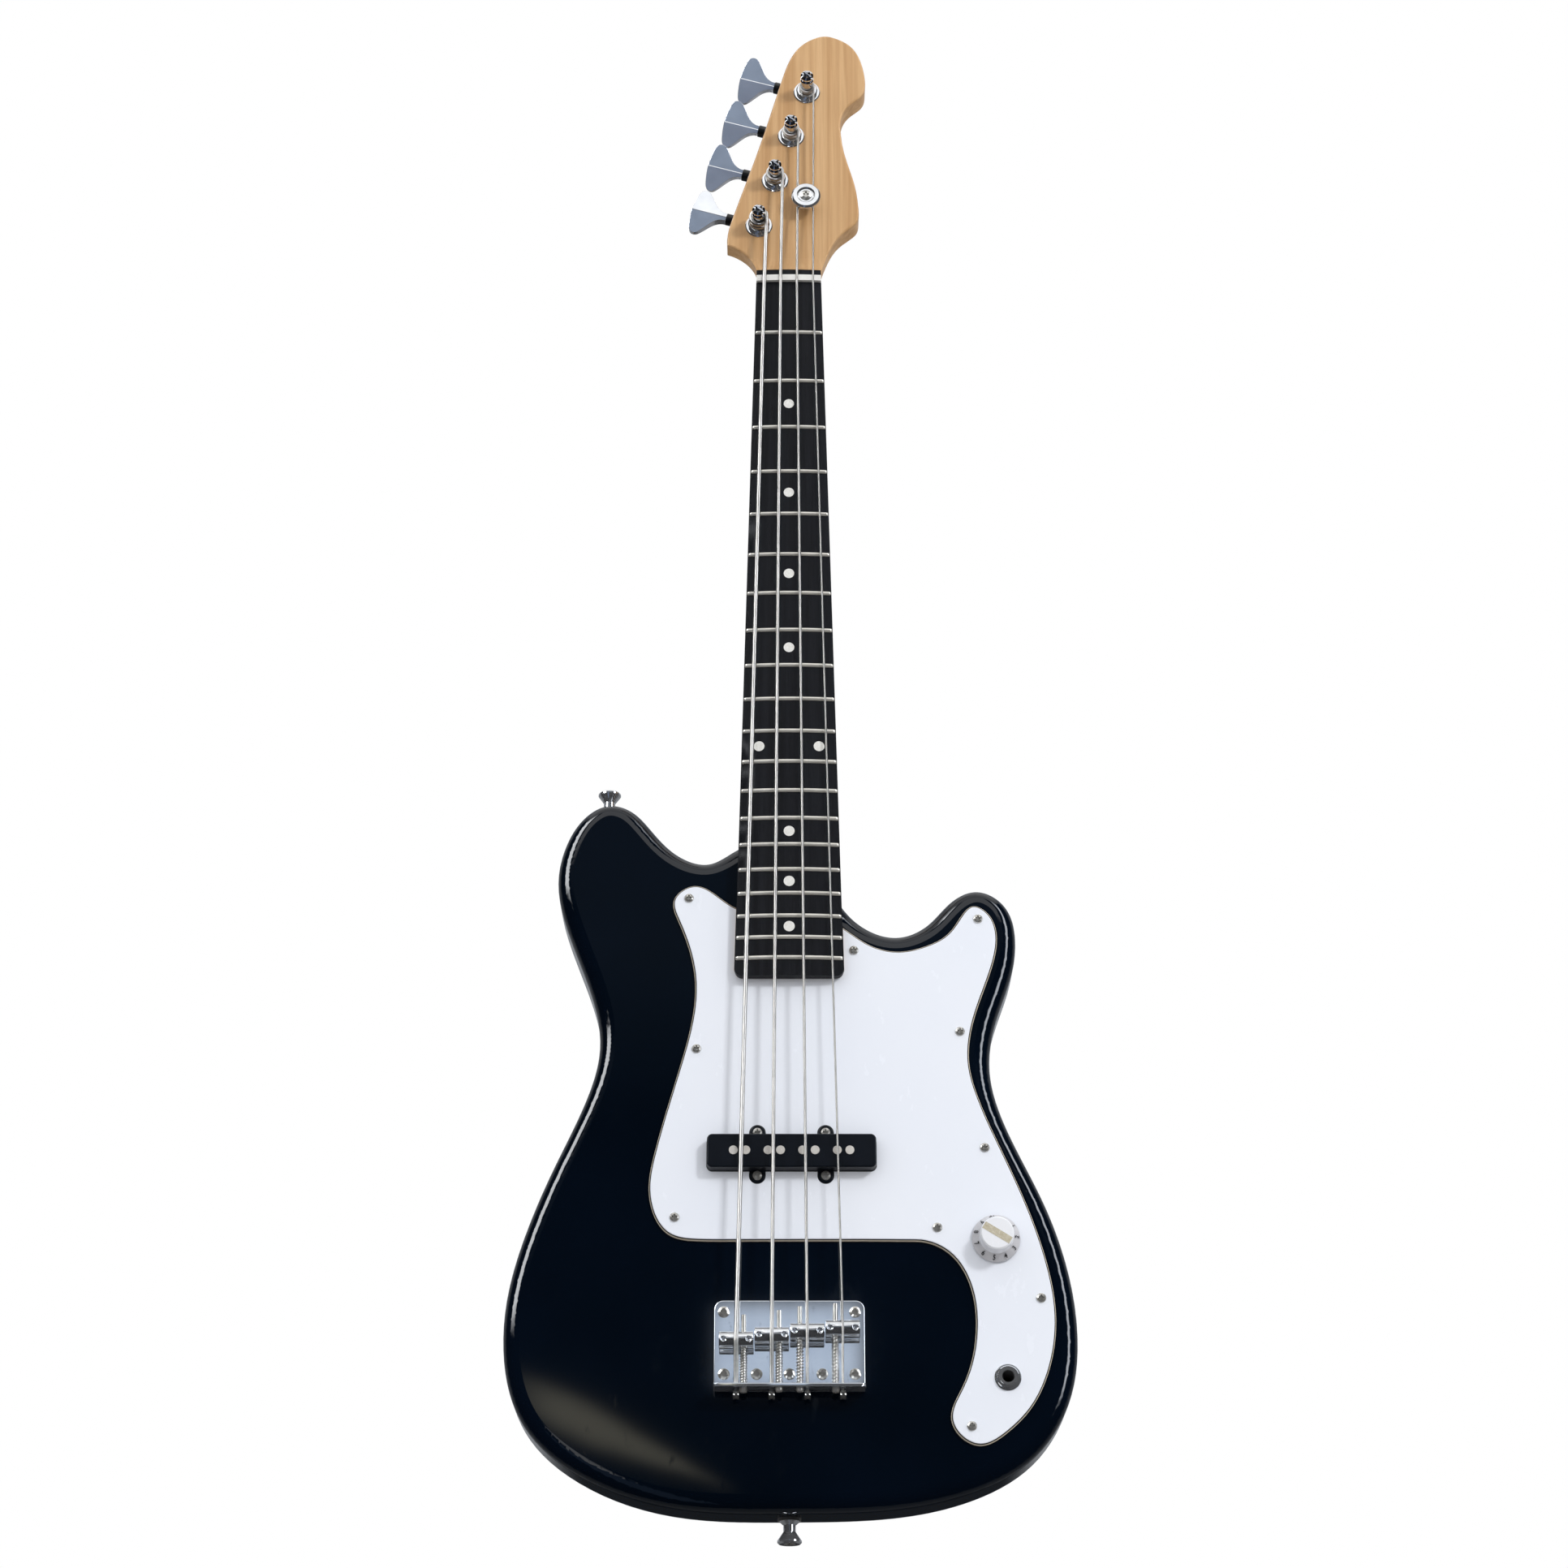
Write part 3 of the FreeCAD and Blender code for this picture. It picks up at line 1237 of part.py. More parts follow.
    leaf_origin = worm_centre + key_way * leaf_start
    side_points = [(share * key_length, half_share * key_width) for share, half_share in key_side_shares]
    outline = [leaf_origin + key_way * s + tuner_line * n for s, n in side_points]
    mirrored = [leaf_origin + key_way * s - tuner_line * n for s, n in reversed(side_points)]
    leaf_wire = Part.Wire([curve(outline + mirrored), Part.makeLine(mirrored[-1], outline[0])])
    leaf_face = Part.Face(leaf_wire)
    leaf_key = leaf_face.extrude(back * key_ridge)
    leaf_key.translate(front * (key_ridge / 2))
    roof_points = []
    roof_corners = ((-1, -key_edge), (0, -key_ridge), (1, -key_edge),
                    (1, key_edge), (0, key_ridge), (-1, key_edge))
    for n, y in roof_corners:
        roof_points.append(leaf_origin + tuner_line * (n * key_width / 2) + back * (y / 2))
    roof_points.append(roof_points[0])
    roof = Part.Face(Part.makePolygon(roof_points)).extrude(key_way * key_length)
    leaf_key = leaf_key.common(roof)
    leaf_key.rotate(worm_centre, key_way, key_rest_angles[index])
    stem = rod(leaf_origin, leaf_origin + key_way * (key_length * key_stem_share), key_stem_diameter)
    keys.append(fused([core, thread, shaft, stem, leaf_key]))

    collar_start = worm_centre + key_way * collar_place
    collar_end = worm_centre + key_way * leaf_start
    shaft_hole_diameter = key_shaft_diameter + 2 * key_shaft_clearance
    collar_hole = rod(collar_start, collar_end, shaft_hole_diameter)
    collars.append(rod(collar_start, collar_end, collar_diameter).cut(collar_hole))

    plate_place = vec(x, head_back, z)
    plate = tuner_block(plate_place, (-plate_reach_in, plate_reach_out), (-plate_below, plate_above),
                        plate_corner, plate_thickness)
    lugs = []
    lug_sides = (-lug_width / 2, lug_width / 2)
    lug_ends = (-lug_thickness / 2, lug_thickness / 2)
    for side in (-1, 1):
        middle = vec(x, plate_back, z) + tuner_line * worm_distance + key_way * (side * lug_place)
        lugs.append(tuner_block(middle, lug_ends, lug_sides, 0, worm_y - plate_back + lug_width / 2))
    plate = plate.fuse(lugs).removeSplitter()
    lug_way = key_way * lug_outer
    plate = plate.cut([rod(worm_centre - lug_way, worm_centre + lug_way, shaft_hole_diameter),
                       rod_y(x, z, head_back, plate_back, post_diameter + 2 * post_clearance)])
    corner_places = [(-plate_reach_in + plate_screw_inset, -plate_below + plate_screw_inset),
                     (plate_reach_out - plate_screw_inset, -plate_below + plate_screw_inset),
                     (-plate_reach_in + plate_screw_inset, plate_above - plate_screw_inset)]
    for s, n in corner_places:
        tuner_screws.append(aimed(tiny_screw, vec(x, plate_back, z) + key_way * s + tuner_line * n, front))
    plates.append(plate)

# String retainer on its spacer, held by one screw

retainer_top = head_face - retainer_height - retainer_disc
spacer_r = retainer_spacer_diameter / 2
disc_r = retainer_diameter / 2
disc_back = head_face - retainer_height
recess_r = retainer_recess_diameter / 2
recess_floor = retainer_top + retainer_recess
retainer = turned(vec(retainer_x, 0, retainer_z), back, [
    (0, recess_floor), (recess_r - retainer_recess, recess_floor), (recess_r, retainer_top),
    (disc_r - retainer_edge, retainer_top), (disc_r, retainer_top + retainer_edge),
    (disc_r, disc_back), (spacer_r, disc_back), (spacer_r, head_face), (0, head_face)])
retainer_screw = cross_screw(retainer_screw_head, small_head_height, small_shank_diameter, pickup_screw_length)
retainer_screw = aimed(retainer_screw, vec(retainer_x, recess_floor, retainer_z), back)
retainer = retainer.cut(retainer_screw)

# Strap buttons on the horn and the tail

button_x = button_x_share * body_width
horn_seat = vec(button_x, body_middle, body_tail + body_length)
tail_seat = vec(0, body_middle, body_tail)
buttons = []
felts = []
button_screws = []
button_height = felt_thickness + button_base + button_waist + button_flare + button_flange
for seat, way in ((horn_seat, up), (tail_seat, down)):
    base_r = button_base_diameter / 2
    waist_r = button_waist_diameter / 2
    rim_r = button_flange_diameter / 2
    neck_h = felt_thickness + button_base
    flare_h = neck_h + button_waist
    rim_h = flare_h + button_flare
    body_of_button = turned(seat, way, [
        (0, felt_thickness), (base_r, felt_thickness), (waist_r, neck_h), (waist_r, flare_h), (rim_r, rim_h),
        (rim_r, rim_h + button_flange / 2), (rim_r * button_dome_share, button_height), (0, button_height)])
    screw_seat = seat + way * (button_height - button_sink)
    screw = aimed(button_screw, screw_seat, way * -1)
    recess = rod(screw_seat, seat + way * button_height, large_head_diameter)
    buttons.append(body_of_button.cut([screw, recess]))
    button_screws.append(screw)
    felt_start = seat - way * felt_thickness
    felts.append(rod(felt_start, seat + way * felt_thickness, felt_diameter).cut([body_blank, screw]))

# Holes and cavities in neck, pickguard and body

head_screws = tuner_screws + [retainer_screw]
sleeve_rods = [rod_y(p.x, p.z, head_face, head_back, tuner_sleeve_diameter) for p in post_places]
neck = neck.cut([truss_rod, truss_nut] + neck_screws + head_screws + sleeve_rods)
plates = [plate.cut(tuner_screws) for plate in plates]
neck_plate = neck_plate.cut(neck_screws)

guard_cuts = [slab(heel_wire(guard_neck_gap, guard_top, heel_top), guard_thickness)]
guard_cuts += [pickup_outline(guard_hole_gap, guard_top, body_front)]
guard_cuts += ear_outlines(guard_hole_gap, guard_top, body_front)
guard_cuts += [rod_y(knob_x, knob_z, guard_top, body_front, pot_bushing_diameter),
               rod_y(jack_x, jack_z, guard_top, body_front, jack_barrel_diameter)]
guard = guard.cut(guard_cuts + guard_screws)

pocket_top = body_tail + body_length + heel_blend
pocket = slab(heel_wire(pocket_gap, body_front, pocket_top), heel_thickness - body_front)
pickup_cavity = pickup_outline(pickup_cavity_gap, body_front, body_front + pickup_cavity_depth)
control_line = (vec(jack_x, 0, jack_z) - vec(knob_x, 0, knob_z)).normalize()
control_side = control_line.cross(back)
half_cavity = control_cavity_width / 2
knob_end = vec(knob_x, body_front, knob_z) - control_line * control_cavity_reach
jack_end = vec(jack_x, body_front, jack_z) + control_line * control_cavity_reach
cavity_side = control_side * half_cavity
control_corners = [knob_end + cavity_side, jack_end + cavity_side,
                   jack_end - cavity_side, knob_end - cavity_side]
control_wire = rounded_wire(control_corners, [half_cavity * cavity_corner_share] * 4)
control_cavity = slab(control_wire, control_cavity_depth)
channel_start = vec(pole_xs[-1], body_front, pickup_z)
channel_end = vec(knob_x, body_front, knob_z)
channel_line = (channel_end - channel_start).normalize()
channel_side = channel_line.cross(back) * (channel_width / 2)
channel_corners = [channel_start + channel_side, channel_end + channel_side,
                   channel_end - channel_side, channel_start - channel_side]
channel = slab(rounded_wire(channel_corners, [0] * 4), channel_depth)
body = body_blank.cut([pocket, pickup_cavity, control_cavity, channel])
body = body.cut(guard_screws + pickup_screws + bridge_screws + neck_screws + button_screws)

# One file per piece; like pieces share a file


def write(node, solids):
    shape = Part.makeCompound(solids) if len(solids) > 1 else solids[0]
    shape.exportStep("parts/" + node + ".step")


os.makedirs("parts", exist_ok=True)
write("body", [body])
write("neck", [neck])
write("fingerboard", [board])
write("frets", frets)
write("fret_markers", markers)
write("nut", [nut])
write("truss_rod", [truss_rod])
write("truss_rod_nut", [truss_nut_solid])
write("neck_plate", [neck_plate])
write("neck_screws", neck_screws)
write("pickguard", [guard])
write("pickguard_screws", guard_screws)
write("pickup_cover", [cover])
write("pickup_bobbin", [upper_plate, lower_plate])
write("pickup_coil", [coil])
write("pickup_pole_pieces", poles)
write("pickup_foam", [foam])
write("pickup_screws", pickup_screws)
write("volume_pot", [pot])
write("volume_pot_nut", [pot_nut])
write("volume_pot_shaft", [pot_shaft])
write("volume_knob", [knob])
write("volume_knob_strip", [strip])
write("jack_socket", [jack])
write("jack_nut", [jack_nut_solid, jack_washer_solid])
write("jack_contact", [leaf])
write("leads", leads)
write("bridge_plate", [bridge])
write("bridge_screws", bridge_screws)
write("saddle_springs", springs)
write("string_retainer", [retainer])
write("string_retainer_screw", [retainer_screw])
write("tuner_bushings", bushings)
write("tuner_plates", plates)
write("tuner_screws", tuner_screws)
write("tuner_collars", collars)
write("strap_buttons", buttons)
write("strap_button_screws", button_screws)
write("strap_button_felts", felts)
for index, name in enumerate(string_names):
    write("saddle_" + name, saddles[index])
    write("intonation_screw_" + name, [intonation_screws[index]])
    write("string_" + name, strings[index])
    write("tuner_post_" + name, posts[index])
    write("tuner_key_" + name, [keys[index]])
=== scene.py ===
"""Short-scale electric bass guitar: looks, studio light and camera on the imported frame."""
import json
import math
import bmesh
import bpy
import numpy as np
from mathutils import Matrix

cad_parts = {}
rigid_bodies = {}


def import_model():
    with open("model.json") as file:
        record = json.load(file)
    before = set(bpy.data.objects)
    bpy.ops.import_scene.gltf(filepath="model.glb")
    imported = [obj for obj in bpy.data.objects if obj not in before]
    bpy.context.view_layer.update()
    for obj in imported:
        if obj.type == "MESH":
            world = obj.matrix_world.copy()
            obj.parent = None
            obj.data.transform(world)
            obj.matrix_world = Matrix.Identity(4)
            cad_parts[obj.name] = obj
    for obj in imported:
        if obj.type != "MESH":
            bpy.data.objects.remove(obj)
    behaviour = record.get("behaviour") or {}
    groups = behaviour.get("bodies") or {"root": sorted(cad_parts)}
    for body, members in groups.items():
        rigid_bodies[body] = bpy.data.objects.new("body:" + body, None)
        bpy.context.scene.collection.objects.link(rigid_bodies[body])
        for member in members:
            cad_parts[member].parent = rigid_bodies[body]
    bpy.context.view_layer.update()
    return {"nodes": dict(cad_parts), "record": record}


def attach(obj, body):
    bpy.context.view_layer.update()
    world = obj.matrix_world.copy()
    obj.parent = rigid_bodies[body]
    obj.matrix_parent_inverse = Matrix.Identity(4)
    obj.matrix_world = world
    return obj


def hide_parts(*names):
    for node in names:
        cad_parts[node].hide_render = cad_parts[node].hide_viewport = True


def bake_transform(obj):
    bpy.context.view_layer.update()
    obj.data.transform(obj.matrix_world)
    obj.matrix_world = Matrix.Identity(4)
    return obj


for leftover in list(bpy.data.objects):
    bpy.data.objects.remove(leftover)
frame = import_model()
scene = bpy.context.scene
MM = 0.001
TURN = 2 * math.pi


# Shader helpers

def tint(r, g, b):
    """A display colour of 0 to 255 as linear light: ((c + 0.055) / 1.055) to the power 2.4."""
    c = np.array((r, g, b)) / 255
    light = np.where(c <= 0.04045, c / 12.92, ((c + 0.055) / 1.055) ** 2.4)
    return (*(float(v) for v in light), 1.0)


def node(tree, kind, sockets=None, **settings):
    """Places a node. A socket given as a value is set, and one given as a socket is linked."""
    made = tree.nodes.new("ShaderNode" + kind)
    for key, value in settings.items():
        setattr(made, key, value)
    for key, value in (sockets or {}).items():
        if isinstance(value, bpy.types.NodeSocket):
            tree.links.new(value, made.inputs[key])
        else:
            made.inputs[key].default_value = value
    return made


def sums(tree, operation, *values):
    """One Math node on up to three values."""
    return node(tree, "Math", dict(enumerate(values)), operation=operation).outputs[0]


def noise(tree, **sockets):
    """One Noise texture's value."""
    return node(tree, "TexNoise", sockets).outputs[0]


def spread(tree, value, low, high, to_low=0.0, to_high=1.0, smooth=False):
    """Maps low..high to to_low..to_high and stops there."""
    kind = "SMOOTHSTEP" if smooth else "LINEAR"
    return node(tree, "MapRange", {0: value, 1: low, 2: high, 3: to_low, 4: to_high},
                interpolation_type=kind).outputs[0]


def band(tree, value, low, high, soft):
    """One between low and high, with smooth flanks of width 2 * soft."""
    rising = spread(tree, value, low - soft, low + soft, smooth=True)
    falling = spread(tree, value, high + soft, high - soft, smooth=True)
    return sums(tree, "MULTIPLY", rising, falling)


def mixed(tree, share, first, second, blend="MIX"):
    """Mixes two colours by a share."""
    return node(tree, "Mix", {0: share, 6: first, 7: second}, data_type="RGBA", blend_type=blend).outputs[2]


def ramp(tree, value, stops):
    """Colour ramp with the given (place, colour) stops."""
    made = node(tree, "ValToRGB", {0: value})
    elements = made.color_ramp.elements
    while len(elements) < len(stops):
        elements.new(1.0)
    for element, (place, colour) in zip(elements, stops):
        element.position = place
        element.color = colour
    return made.outputs[0]


def object_place(tree):
    """The Object coordinates, in metres."""
    return node(tree, "TexCoord").outputs["Object"]


def object_depth(tree):
    """Object Y, which runs from the front of the instrument to its back."""
    return node(tree, "SeparateXYZ", {0: object_place(tree)}).outputs["Y"]


def new_group(name, inputs, outputs):
    """An empty shader node group with float inputs (name, default) and float outputs."""
    group = bpy.data.node_groups.new(name, "ShaderNodeTree")
    kind = "NodeSocketFloat"
    for socket, value in inputs:
        group.interface.new_socket(socket, in_out="INPUT", socket_type=kind).default_value = value
    for socket in outputs:
        group.interface.new_socket(socket, in_out="OUTPUT", socket_type=kind)
    return group, group.nodes.new("NodeGroupInput").outputs, group.nodes.new("NodeGroupOutput").inputs


def handling_marks_group():
    """Broad cloudiness, sparse hairline rubs and a fine tooth, all from noise on Object coordinates.

    Tone is noise at Scale, Rub is the crest of stretched noise at eight times Scale, and Tooth is
    noise at forty times Scale.
    """
    group, given, put = new_group("handling_marks", [("Scale", 40.0)], ["Tone", "Rub", "Tooth"])
    place = object_place(group)
    broad = noise(group, Vector=place, Scale=given["Scale"], Detail=3.0)
    group.links.new(spread(group, broad, 0.3, 0.7), put["Tone"])
    leaning = node(group, "Mapping", {"Vector": place, "Rotation": (0.3, 0.5, 0.7), "Scale": (1, 6, 0.4)})
    rub_scale = sums(group, "MULTIPLY", given["Scale"], 8.0)
    lines = noise(group, Vector=leaning.outputs[0], Scale=rub_scale, Detail=5.0, Roughness=0.65)
    group.links.new(spread(group, lines, 0.6, 0.74), put["Rub"])
    tooth_scale = sums(group, "MULTIPLY", given["Scale"], 40.0)
    group.links.new(noise(group, Vector=place, Scale=tooth_scale, Detail=2.0), put["Tooth"])
    return group


def wood_fibre_group():
    """Growth bands, fibres and pores that run along Z.

    Object coordinates are multiplied by (Across, Across, Along), so noise on them is drawn out along
    the wood. Growth is slow noise bent by distortion, Fibre is noise eight times finer, and Pore keeps
    only the darkest short strokes of a still finer one.
    """
    group, given, put = new_group("wood_fibre", [("Across", 60.0), ("Along", 4.0)],
                                  ["Growth", "Fibre", "Pore"])
    place = object_place(group)
    stretch = node(group, "CombineXYZ", {0: given["Across"], 1: given["Across"], 2: given["Along"]})
    drawn = node(group, "VectorMath", {0: place, 1: stretch.outputs[0]}, operation="MULTIPLY").outputs[0]
    growth = noise(group, Vector=drawn, Scale=1.0, Detail=3.0, Distortion=0.8)
    group.links.new(spread(group, growth, 0.28, 0.72), put["Growth"])
    fibre = noise(group, Vector=drawn, Scale=8.0, Detail=4.0, Roughness=0.6)
    group.links.new(spread(group, fibre, 0.25, 0.75), put["Fibre"])
    pore = noise(group, Vector=drawn, Scale=19.0, Detail=2.0)
    group.links.new(spread(group, pore, 0.36, 0.28), put["Pore"])
    return group


HANDLING = handling_marks_group()
FIBRE = wood_fibre_group()


def new_material(name, **constants):
    """A material with one Principled shader whose plain sockets are set from constants."""
    material = bpy.data.materials.new(name)
    material.use_nodes = True
    tree = material.node_tree
    shader = tree.nodes["Principled BSDF"]
    for socket, value in constants.items():
        shader.inputs[socket.replace("_", " ")].default_value = value
    return material, tree, shader


def use_group(tree, group, **values):
    """Places a node group with its own values and gives its outputs."""
    made = tree.nodes.new("ShaderNodeGroup")
    made.node_tree = group
    for socket, value in values.items():
        made.inputs[socket].default_value = value
    return made.outputs


def dressed(tree, shader, colour, value, smooth, rough):
    """Feeds the shader a colour, and a roughness from smooth to rough as a value goes from 0 to 1."""
    tree.links.new(colour, shader.inputs["Base Color"])
    tree.links.new(spread(tree, value, 0.0, 1.0, smooth, rough), shader.inputs["Roughness"])


def bumped(tree, shader, height, distance):
    """Feeds a height, in metres when multiplied by distance, to the shader's Normal."""
    bump = node(tree, "Bump", {"Height": height, "Distance": distance, "Strength": 1.0})
    tree.links.new(bump.outputs[0], shader.inputs["Normal"])


def plain_finish(name, dark, light, smooth, rubbed, scale, tooth=0.0, **constants):
    """Moulded, plated or machined finish: colour drifts from dark to light with Tone, and roughness
    goes from smooth to rubbed where hairline rubs lie, over a fine tooth where one is given."""
    material, tree, shader = new_material(name, **constants)
    marks = use_group(tree, HANDLING, Scale=scale)
    colour = mixed(tree, marks["Tone"], tint(*dark), tint(*light))
    dressed(tree, shader, colour, marks["Rub"], smooth, rubbed)
    if tooth:
        bumped(tree, shader, marks["Tooth"], tooth)
    return material


# Finishes

def navy_lacquer():
    """Near-black navy gloss coat with a faint flow-out ripple and a few polishing rubs."""
    material, tree, shader = new_material("navy_lacquer", IOR=1.45)
    marks = use_group(tree, HANDLING, Scale=9.0)
    colour = mixed(tree, marks["Tone"], tint(2, 8, 17), tint(4, 12, 24))
    dressed(tree, shader, colour, marks["Rub"], 0.035, 0.09)
    bumped(tree, shader, marks["Tone"], 0.00001)
    return material


def neck_maple():
    """Straight-grained maple under a thin satin coat: growth bands, fibres and short flecks."""
    material, tree, shader = new_material("neck_maple", Specular_IOR_Level=0.3)
    wood = use_group(tree, FIBRE, Across=230.0, Along=5.0)
    bands = mixed(tree, wood["Growth"], tint(215, 177, 131), tint(184, 142, 95))
    streaks = mixed(tree, sums(tree, "MULTIPLY", wood["Fibre"], 0.32), bands, tint(178, 134, 88))
    flecks = mixed(tree, sums(tree, "MULTIPLY", wood["Pore"], 0.12), streaks, tint(140, 98, 58))
    dressed(tree, shader, flecks, wood["Fibre"], 0.34, 0.46)
    bumped(tree, shader, wood["Fibre"], 0.00002)
    return material


def dark_board():
    """Near-black open-pored board wood with slightly paler streaks."""
    material, tree, shader = new_material("dark_board", Specular_IOR_Level=0.1)
    wood = use_group(tree, FIBRE, Across=170.0, Along=6.0)
    streaks = mixed(tree, wood["Growth"], tint(13, 14, 17), tint(25, 27, 32))
    fibres = mixed(tree, sums(tree, "MULTIPLY", wood["Fibre"], 0.4), streaks, tint(34, 35, 39))
    pores = mixed(tree, wood["Pore"], fibres, tint(7, 7, 8))
    dressed(tree, shader, pores, wood["Fibre"], 0.36, 0.52)
    bumped(tree, shader, sums(tree, "SUBTRACT", wood["Fibre"], wood["Pore"]), 0.00004)
    return material


def three_ply():
    """White guard sheet: the chamfer cuts through a dark middle ply to a cream lower ply.

    The ply is read from depth: Object Y runs from the sheet's face at 1.5 mm to its back at 4 mm.
    """
    material, tree, shader = new_material("three_ply", Specular_IOR_Level=0.4)
    depth = spread(tree, object_depth(tree), 1.5 * MM, 4.0 * MM)
    face, core, back = tint(238, 242, 250), tint(38, 34, 32), tint(196, 186, 168)
    plies = ramp(tree, depth, [(0.0, face), (0.10, face), (0.13, core), (0.30, core), (0.34, back)])
    marks = use_group(tree, HANDLING, Scale=14.0)
    cloud = sums(tree, "MULTIPLY", marks["Tone"], 0.18)
    clouded = mixed(tree, cloud, plies, tint(240, 244, 251), "MULTIPLY")
    dressed(tree, shader, clouded, marks["Rub"], 0.22, 0.4)
    bumped(tree, shader, marks["Tooth"], 0.000004)
    return material


def dial_plastic():
    """Knob: bright white grip above a greyer skirt, split by height on Object Y."""
    material, tree, shader = new_material("dial_plastic")
    marks = use_group(tree, HANDLING, Scale=90.0)
    grip = spread(tree, object_depth(tree), -3.4 * MM, -3.9 * MM)
    skirt = mixed(tree, marks["Tone"], tint(189, 189, 194), tint(206, 206, 210))
    dressed(tree, shader, mixed(tree, grip, skirt, tint(236, 238, 243)), marks["Rub"], 0.25, 0.42)
    bumped(tree, shader, marks["Tooth"], 0.000006)
    return material


def pearl(name, light, warm):
    """Pearly inlay: a distorted noise sets a soft swirl between light and warm."""
    material, tree, shader = new_material(name)
    swirl = noise(tree, Vector=object_place(tree), Scale=420.0, Detail=3.0, Distortion=2.2)
    colour = mixed(tree, spread(tree, swirl, 0.35, 0.65), tint(*light), tint(*warm))
    dressed(tree, shader, colour, spread(tree, swirl, 0.3, 0.7), 0.15, 0.35)
    return material


def wound_wire():
    """Wrap wire on a core: UV V counts the wraps and U the turn, so V + U is the helix's phase.

    The height of a wrap is the sine of pi times the phase's fraction, and its groove gets painted shade.
    """
    material, tree, shader = new_material("wound_wire", Metallic=1.0)
    uv = node(tree, "SeparateXYZ", {0: node(tree, "UVMap").outputs[0]}).outputs
    phase = sums(tree, "FRACT", sums(tree, "ADD", uv["X"], uv["Y"]))
    crown = sums(tree, "SINE", sums(tree, "MULTIPLY", phase, math.pi))
    marks = use_group(tree, HANDLING, Scale=120.0)
    worn = mixed(tree, marks["Tone"], tint(196, 193, 188), tint(216, 213, 207))
    # Painted shade: where the crown is low, between wraps, the colour is pulled down to a dark grey.
    colour = mixed(tree, spread(tree, crown, 0.15, 0.6), tint(110, 108, 105), worn)
    dressed(tree, shader, colour, marks["Rub"], 0.28, 0.45)
    bumped(tree, shader, crown, 0.00006)
    return material


def turned_metal(name, dark, light, smooth, rubbed, rings):
    """Bright metal with faint tool lines: a wave across Object Y at the given rings per metre."""
    material, tree, shader = new_material(name, Metallic=1.0)
    marks = use_group(tree, HANDLING, Scale=150.0)
    line = sums(tree, "SINE", sums(tree, "MULTIPLY", object_depth(tree), rings * TURN))
    tone = spread(tree, sums(tree, "MULTIPLY_ADD", line, 0.25, marks["Tone"]), 0.0, 1.2)
    dressed(tree, shader, mixed(tree, tone, tint(*dark), tint(*light)), marks["Rub"], smooth, rubbed)
    return material


# The plain finishes give: dark and light colour, smooth and rubbed roughness, scale of the marks, tooth.
FINISH = {
    "body_lacquer": navy_lacquer(),
    "maple": neck_maple(),
    "fingerboard_wood": dark_board(),
    "fret_metal": plain_finish(
        "fret_wire", (214, 211, 203), (232, 229, 220), 0.2, 0.32, 120.0, Metallic=0.5),
    "marker_plastic": pearl("dot_pearl", (240, 240, 237), (220, 219, 213)),
    "nut_plastic": plain_finish(
        "nut_bone", (214, 213, 209), (228, 227, 223), 0.3, 0.45, 150.0, 0.00001),
    "guard_plastic": three_ply(),
    "pickup_plastic": plain_finish(
        "pickup_shell", (7, 11, 18), (13, 18, 26), 0.34, 0.48, 70.0, 0.00002, Specular_IOR_Level=0.16),
    "black_plastic": plain_finish(
        "black_moulding", (8, 8, 9), (16, 16, 17), 0.3, 0.45, 90.0, 0.00001),
    "chrome": plain_finish(
        "plated_fittings", (206, 208, 211), (228, 230, 233), 0.04, 0.1, 60.0, Metallic=0.88),
    "bridge_chrome": plain_finish(
        "plated_bridge", (214, 219, 226), (222, 227, 233), 0.04, 0.08, 45.0, Metallic=0.88),
    "saddle_chrome": plain_finish(
        "plated_saddles", (208, 210, 213), (228, 230, 233), 0.05, 0.12, 140.0, Metallic=0.94),
    "post_chrome": turned_metal("turned_posts", (200, 202, 206), (228, 230, 234), 0.04, 0.1, 900.0),
    "key_chrome": plain_finish(
        "plated_keys", (212, 215, 220), (228, 231, 236), 0.05, 0.11, 80.0, Metallic=0.8),
    "screw_metal": plain_finish(
        "plated_screws", (182, 180, 174), (206, 204, 198), 0.2, 0.3, 220.0, Metallic=0.72),
    "steel": plain_finish(
        "bare_steel", (178, 177, 173), (204, 203, 198), 0.14, 0.26, 160.0, Metallic=0.92),
    "brass": turned_metal("turned_brass", (176, 140, 74), (206, 170, 98), 0.2, 0.35, 700.0),
    "copper": turned_metal("coil_copper", (150, 78, 44), (188, 104, 62), 0.3, 0.45, 2500.0),
    "foam": plain_finish(
        "sponge_foam", (48, 48, 50), (70, 70, 72), 0.9, 1.0, 120.0, 0.0004),
    "felt": plain_finish(
        "pressed_felt", (24, 24, 26), (44, 44, 46), 0.9, 1.0, 160.0, 0.0002, Sheen_Weight=0.3),
    "knob_plastic": dial_plastic(),
    "knob_strip": pearl("strip_pearl", (206, 200, 182), (176, 166, 140)),
    "lead_rubber": plain_finish(
        "lead_sleeve", (20, 20, 21), (34, 34, 35), 0.5, 0.65, 120.0, 0.00002),
    "string_metal": wound_wire(),
}
POLE_FACES = plain_finish(
    "pole_faces", (206, 202, 196), (222, 219, 213), 0.24, 0.36, 220.0, Metallic=0.2)
OWN_FINISH = {"pickup_pole_pieces": POLE_FACES}

for part in frame["record"]["subparts"]:
    finish = OWN_FINISH.get(part["node"], FINISH[part["material_slot"]])
    frame["nodes"][part["node"]].data.materials[0] = finish


# Surfaces

SMOOTH_TURN = math.radians(40)


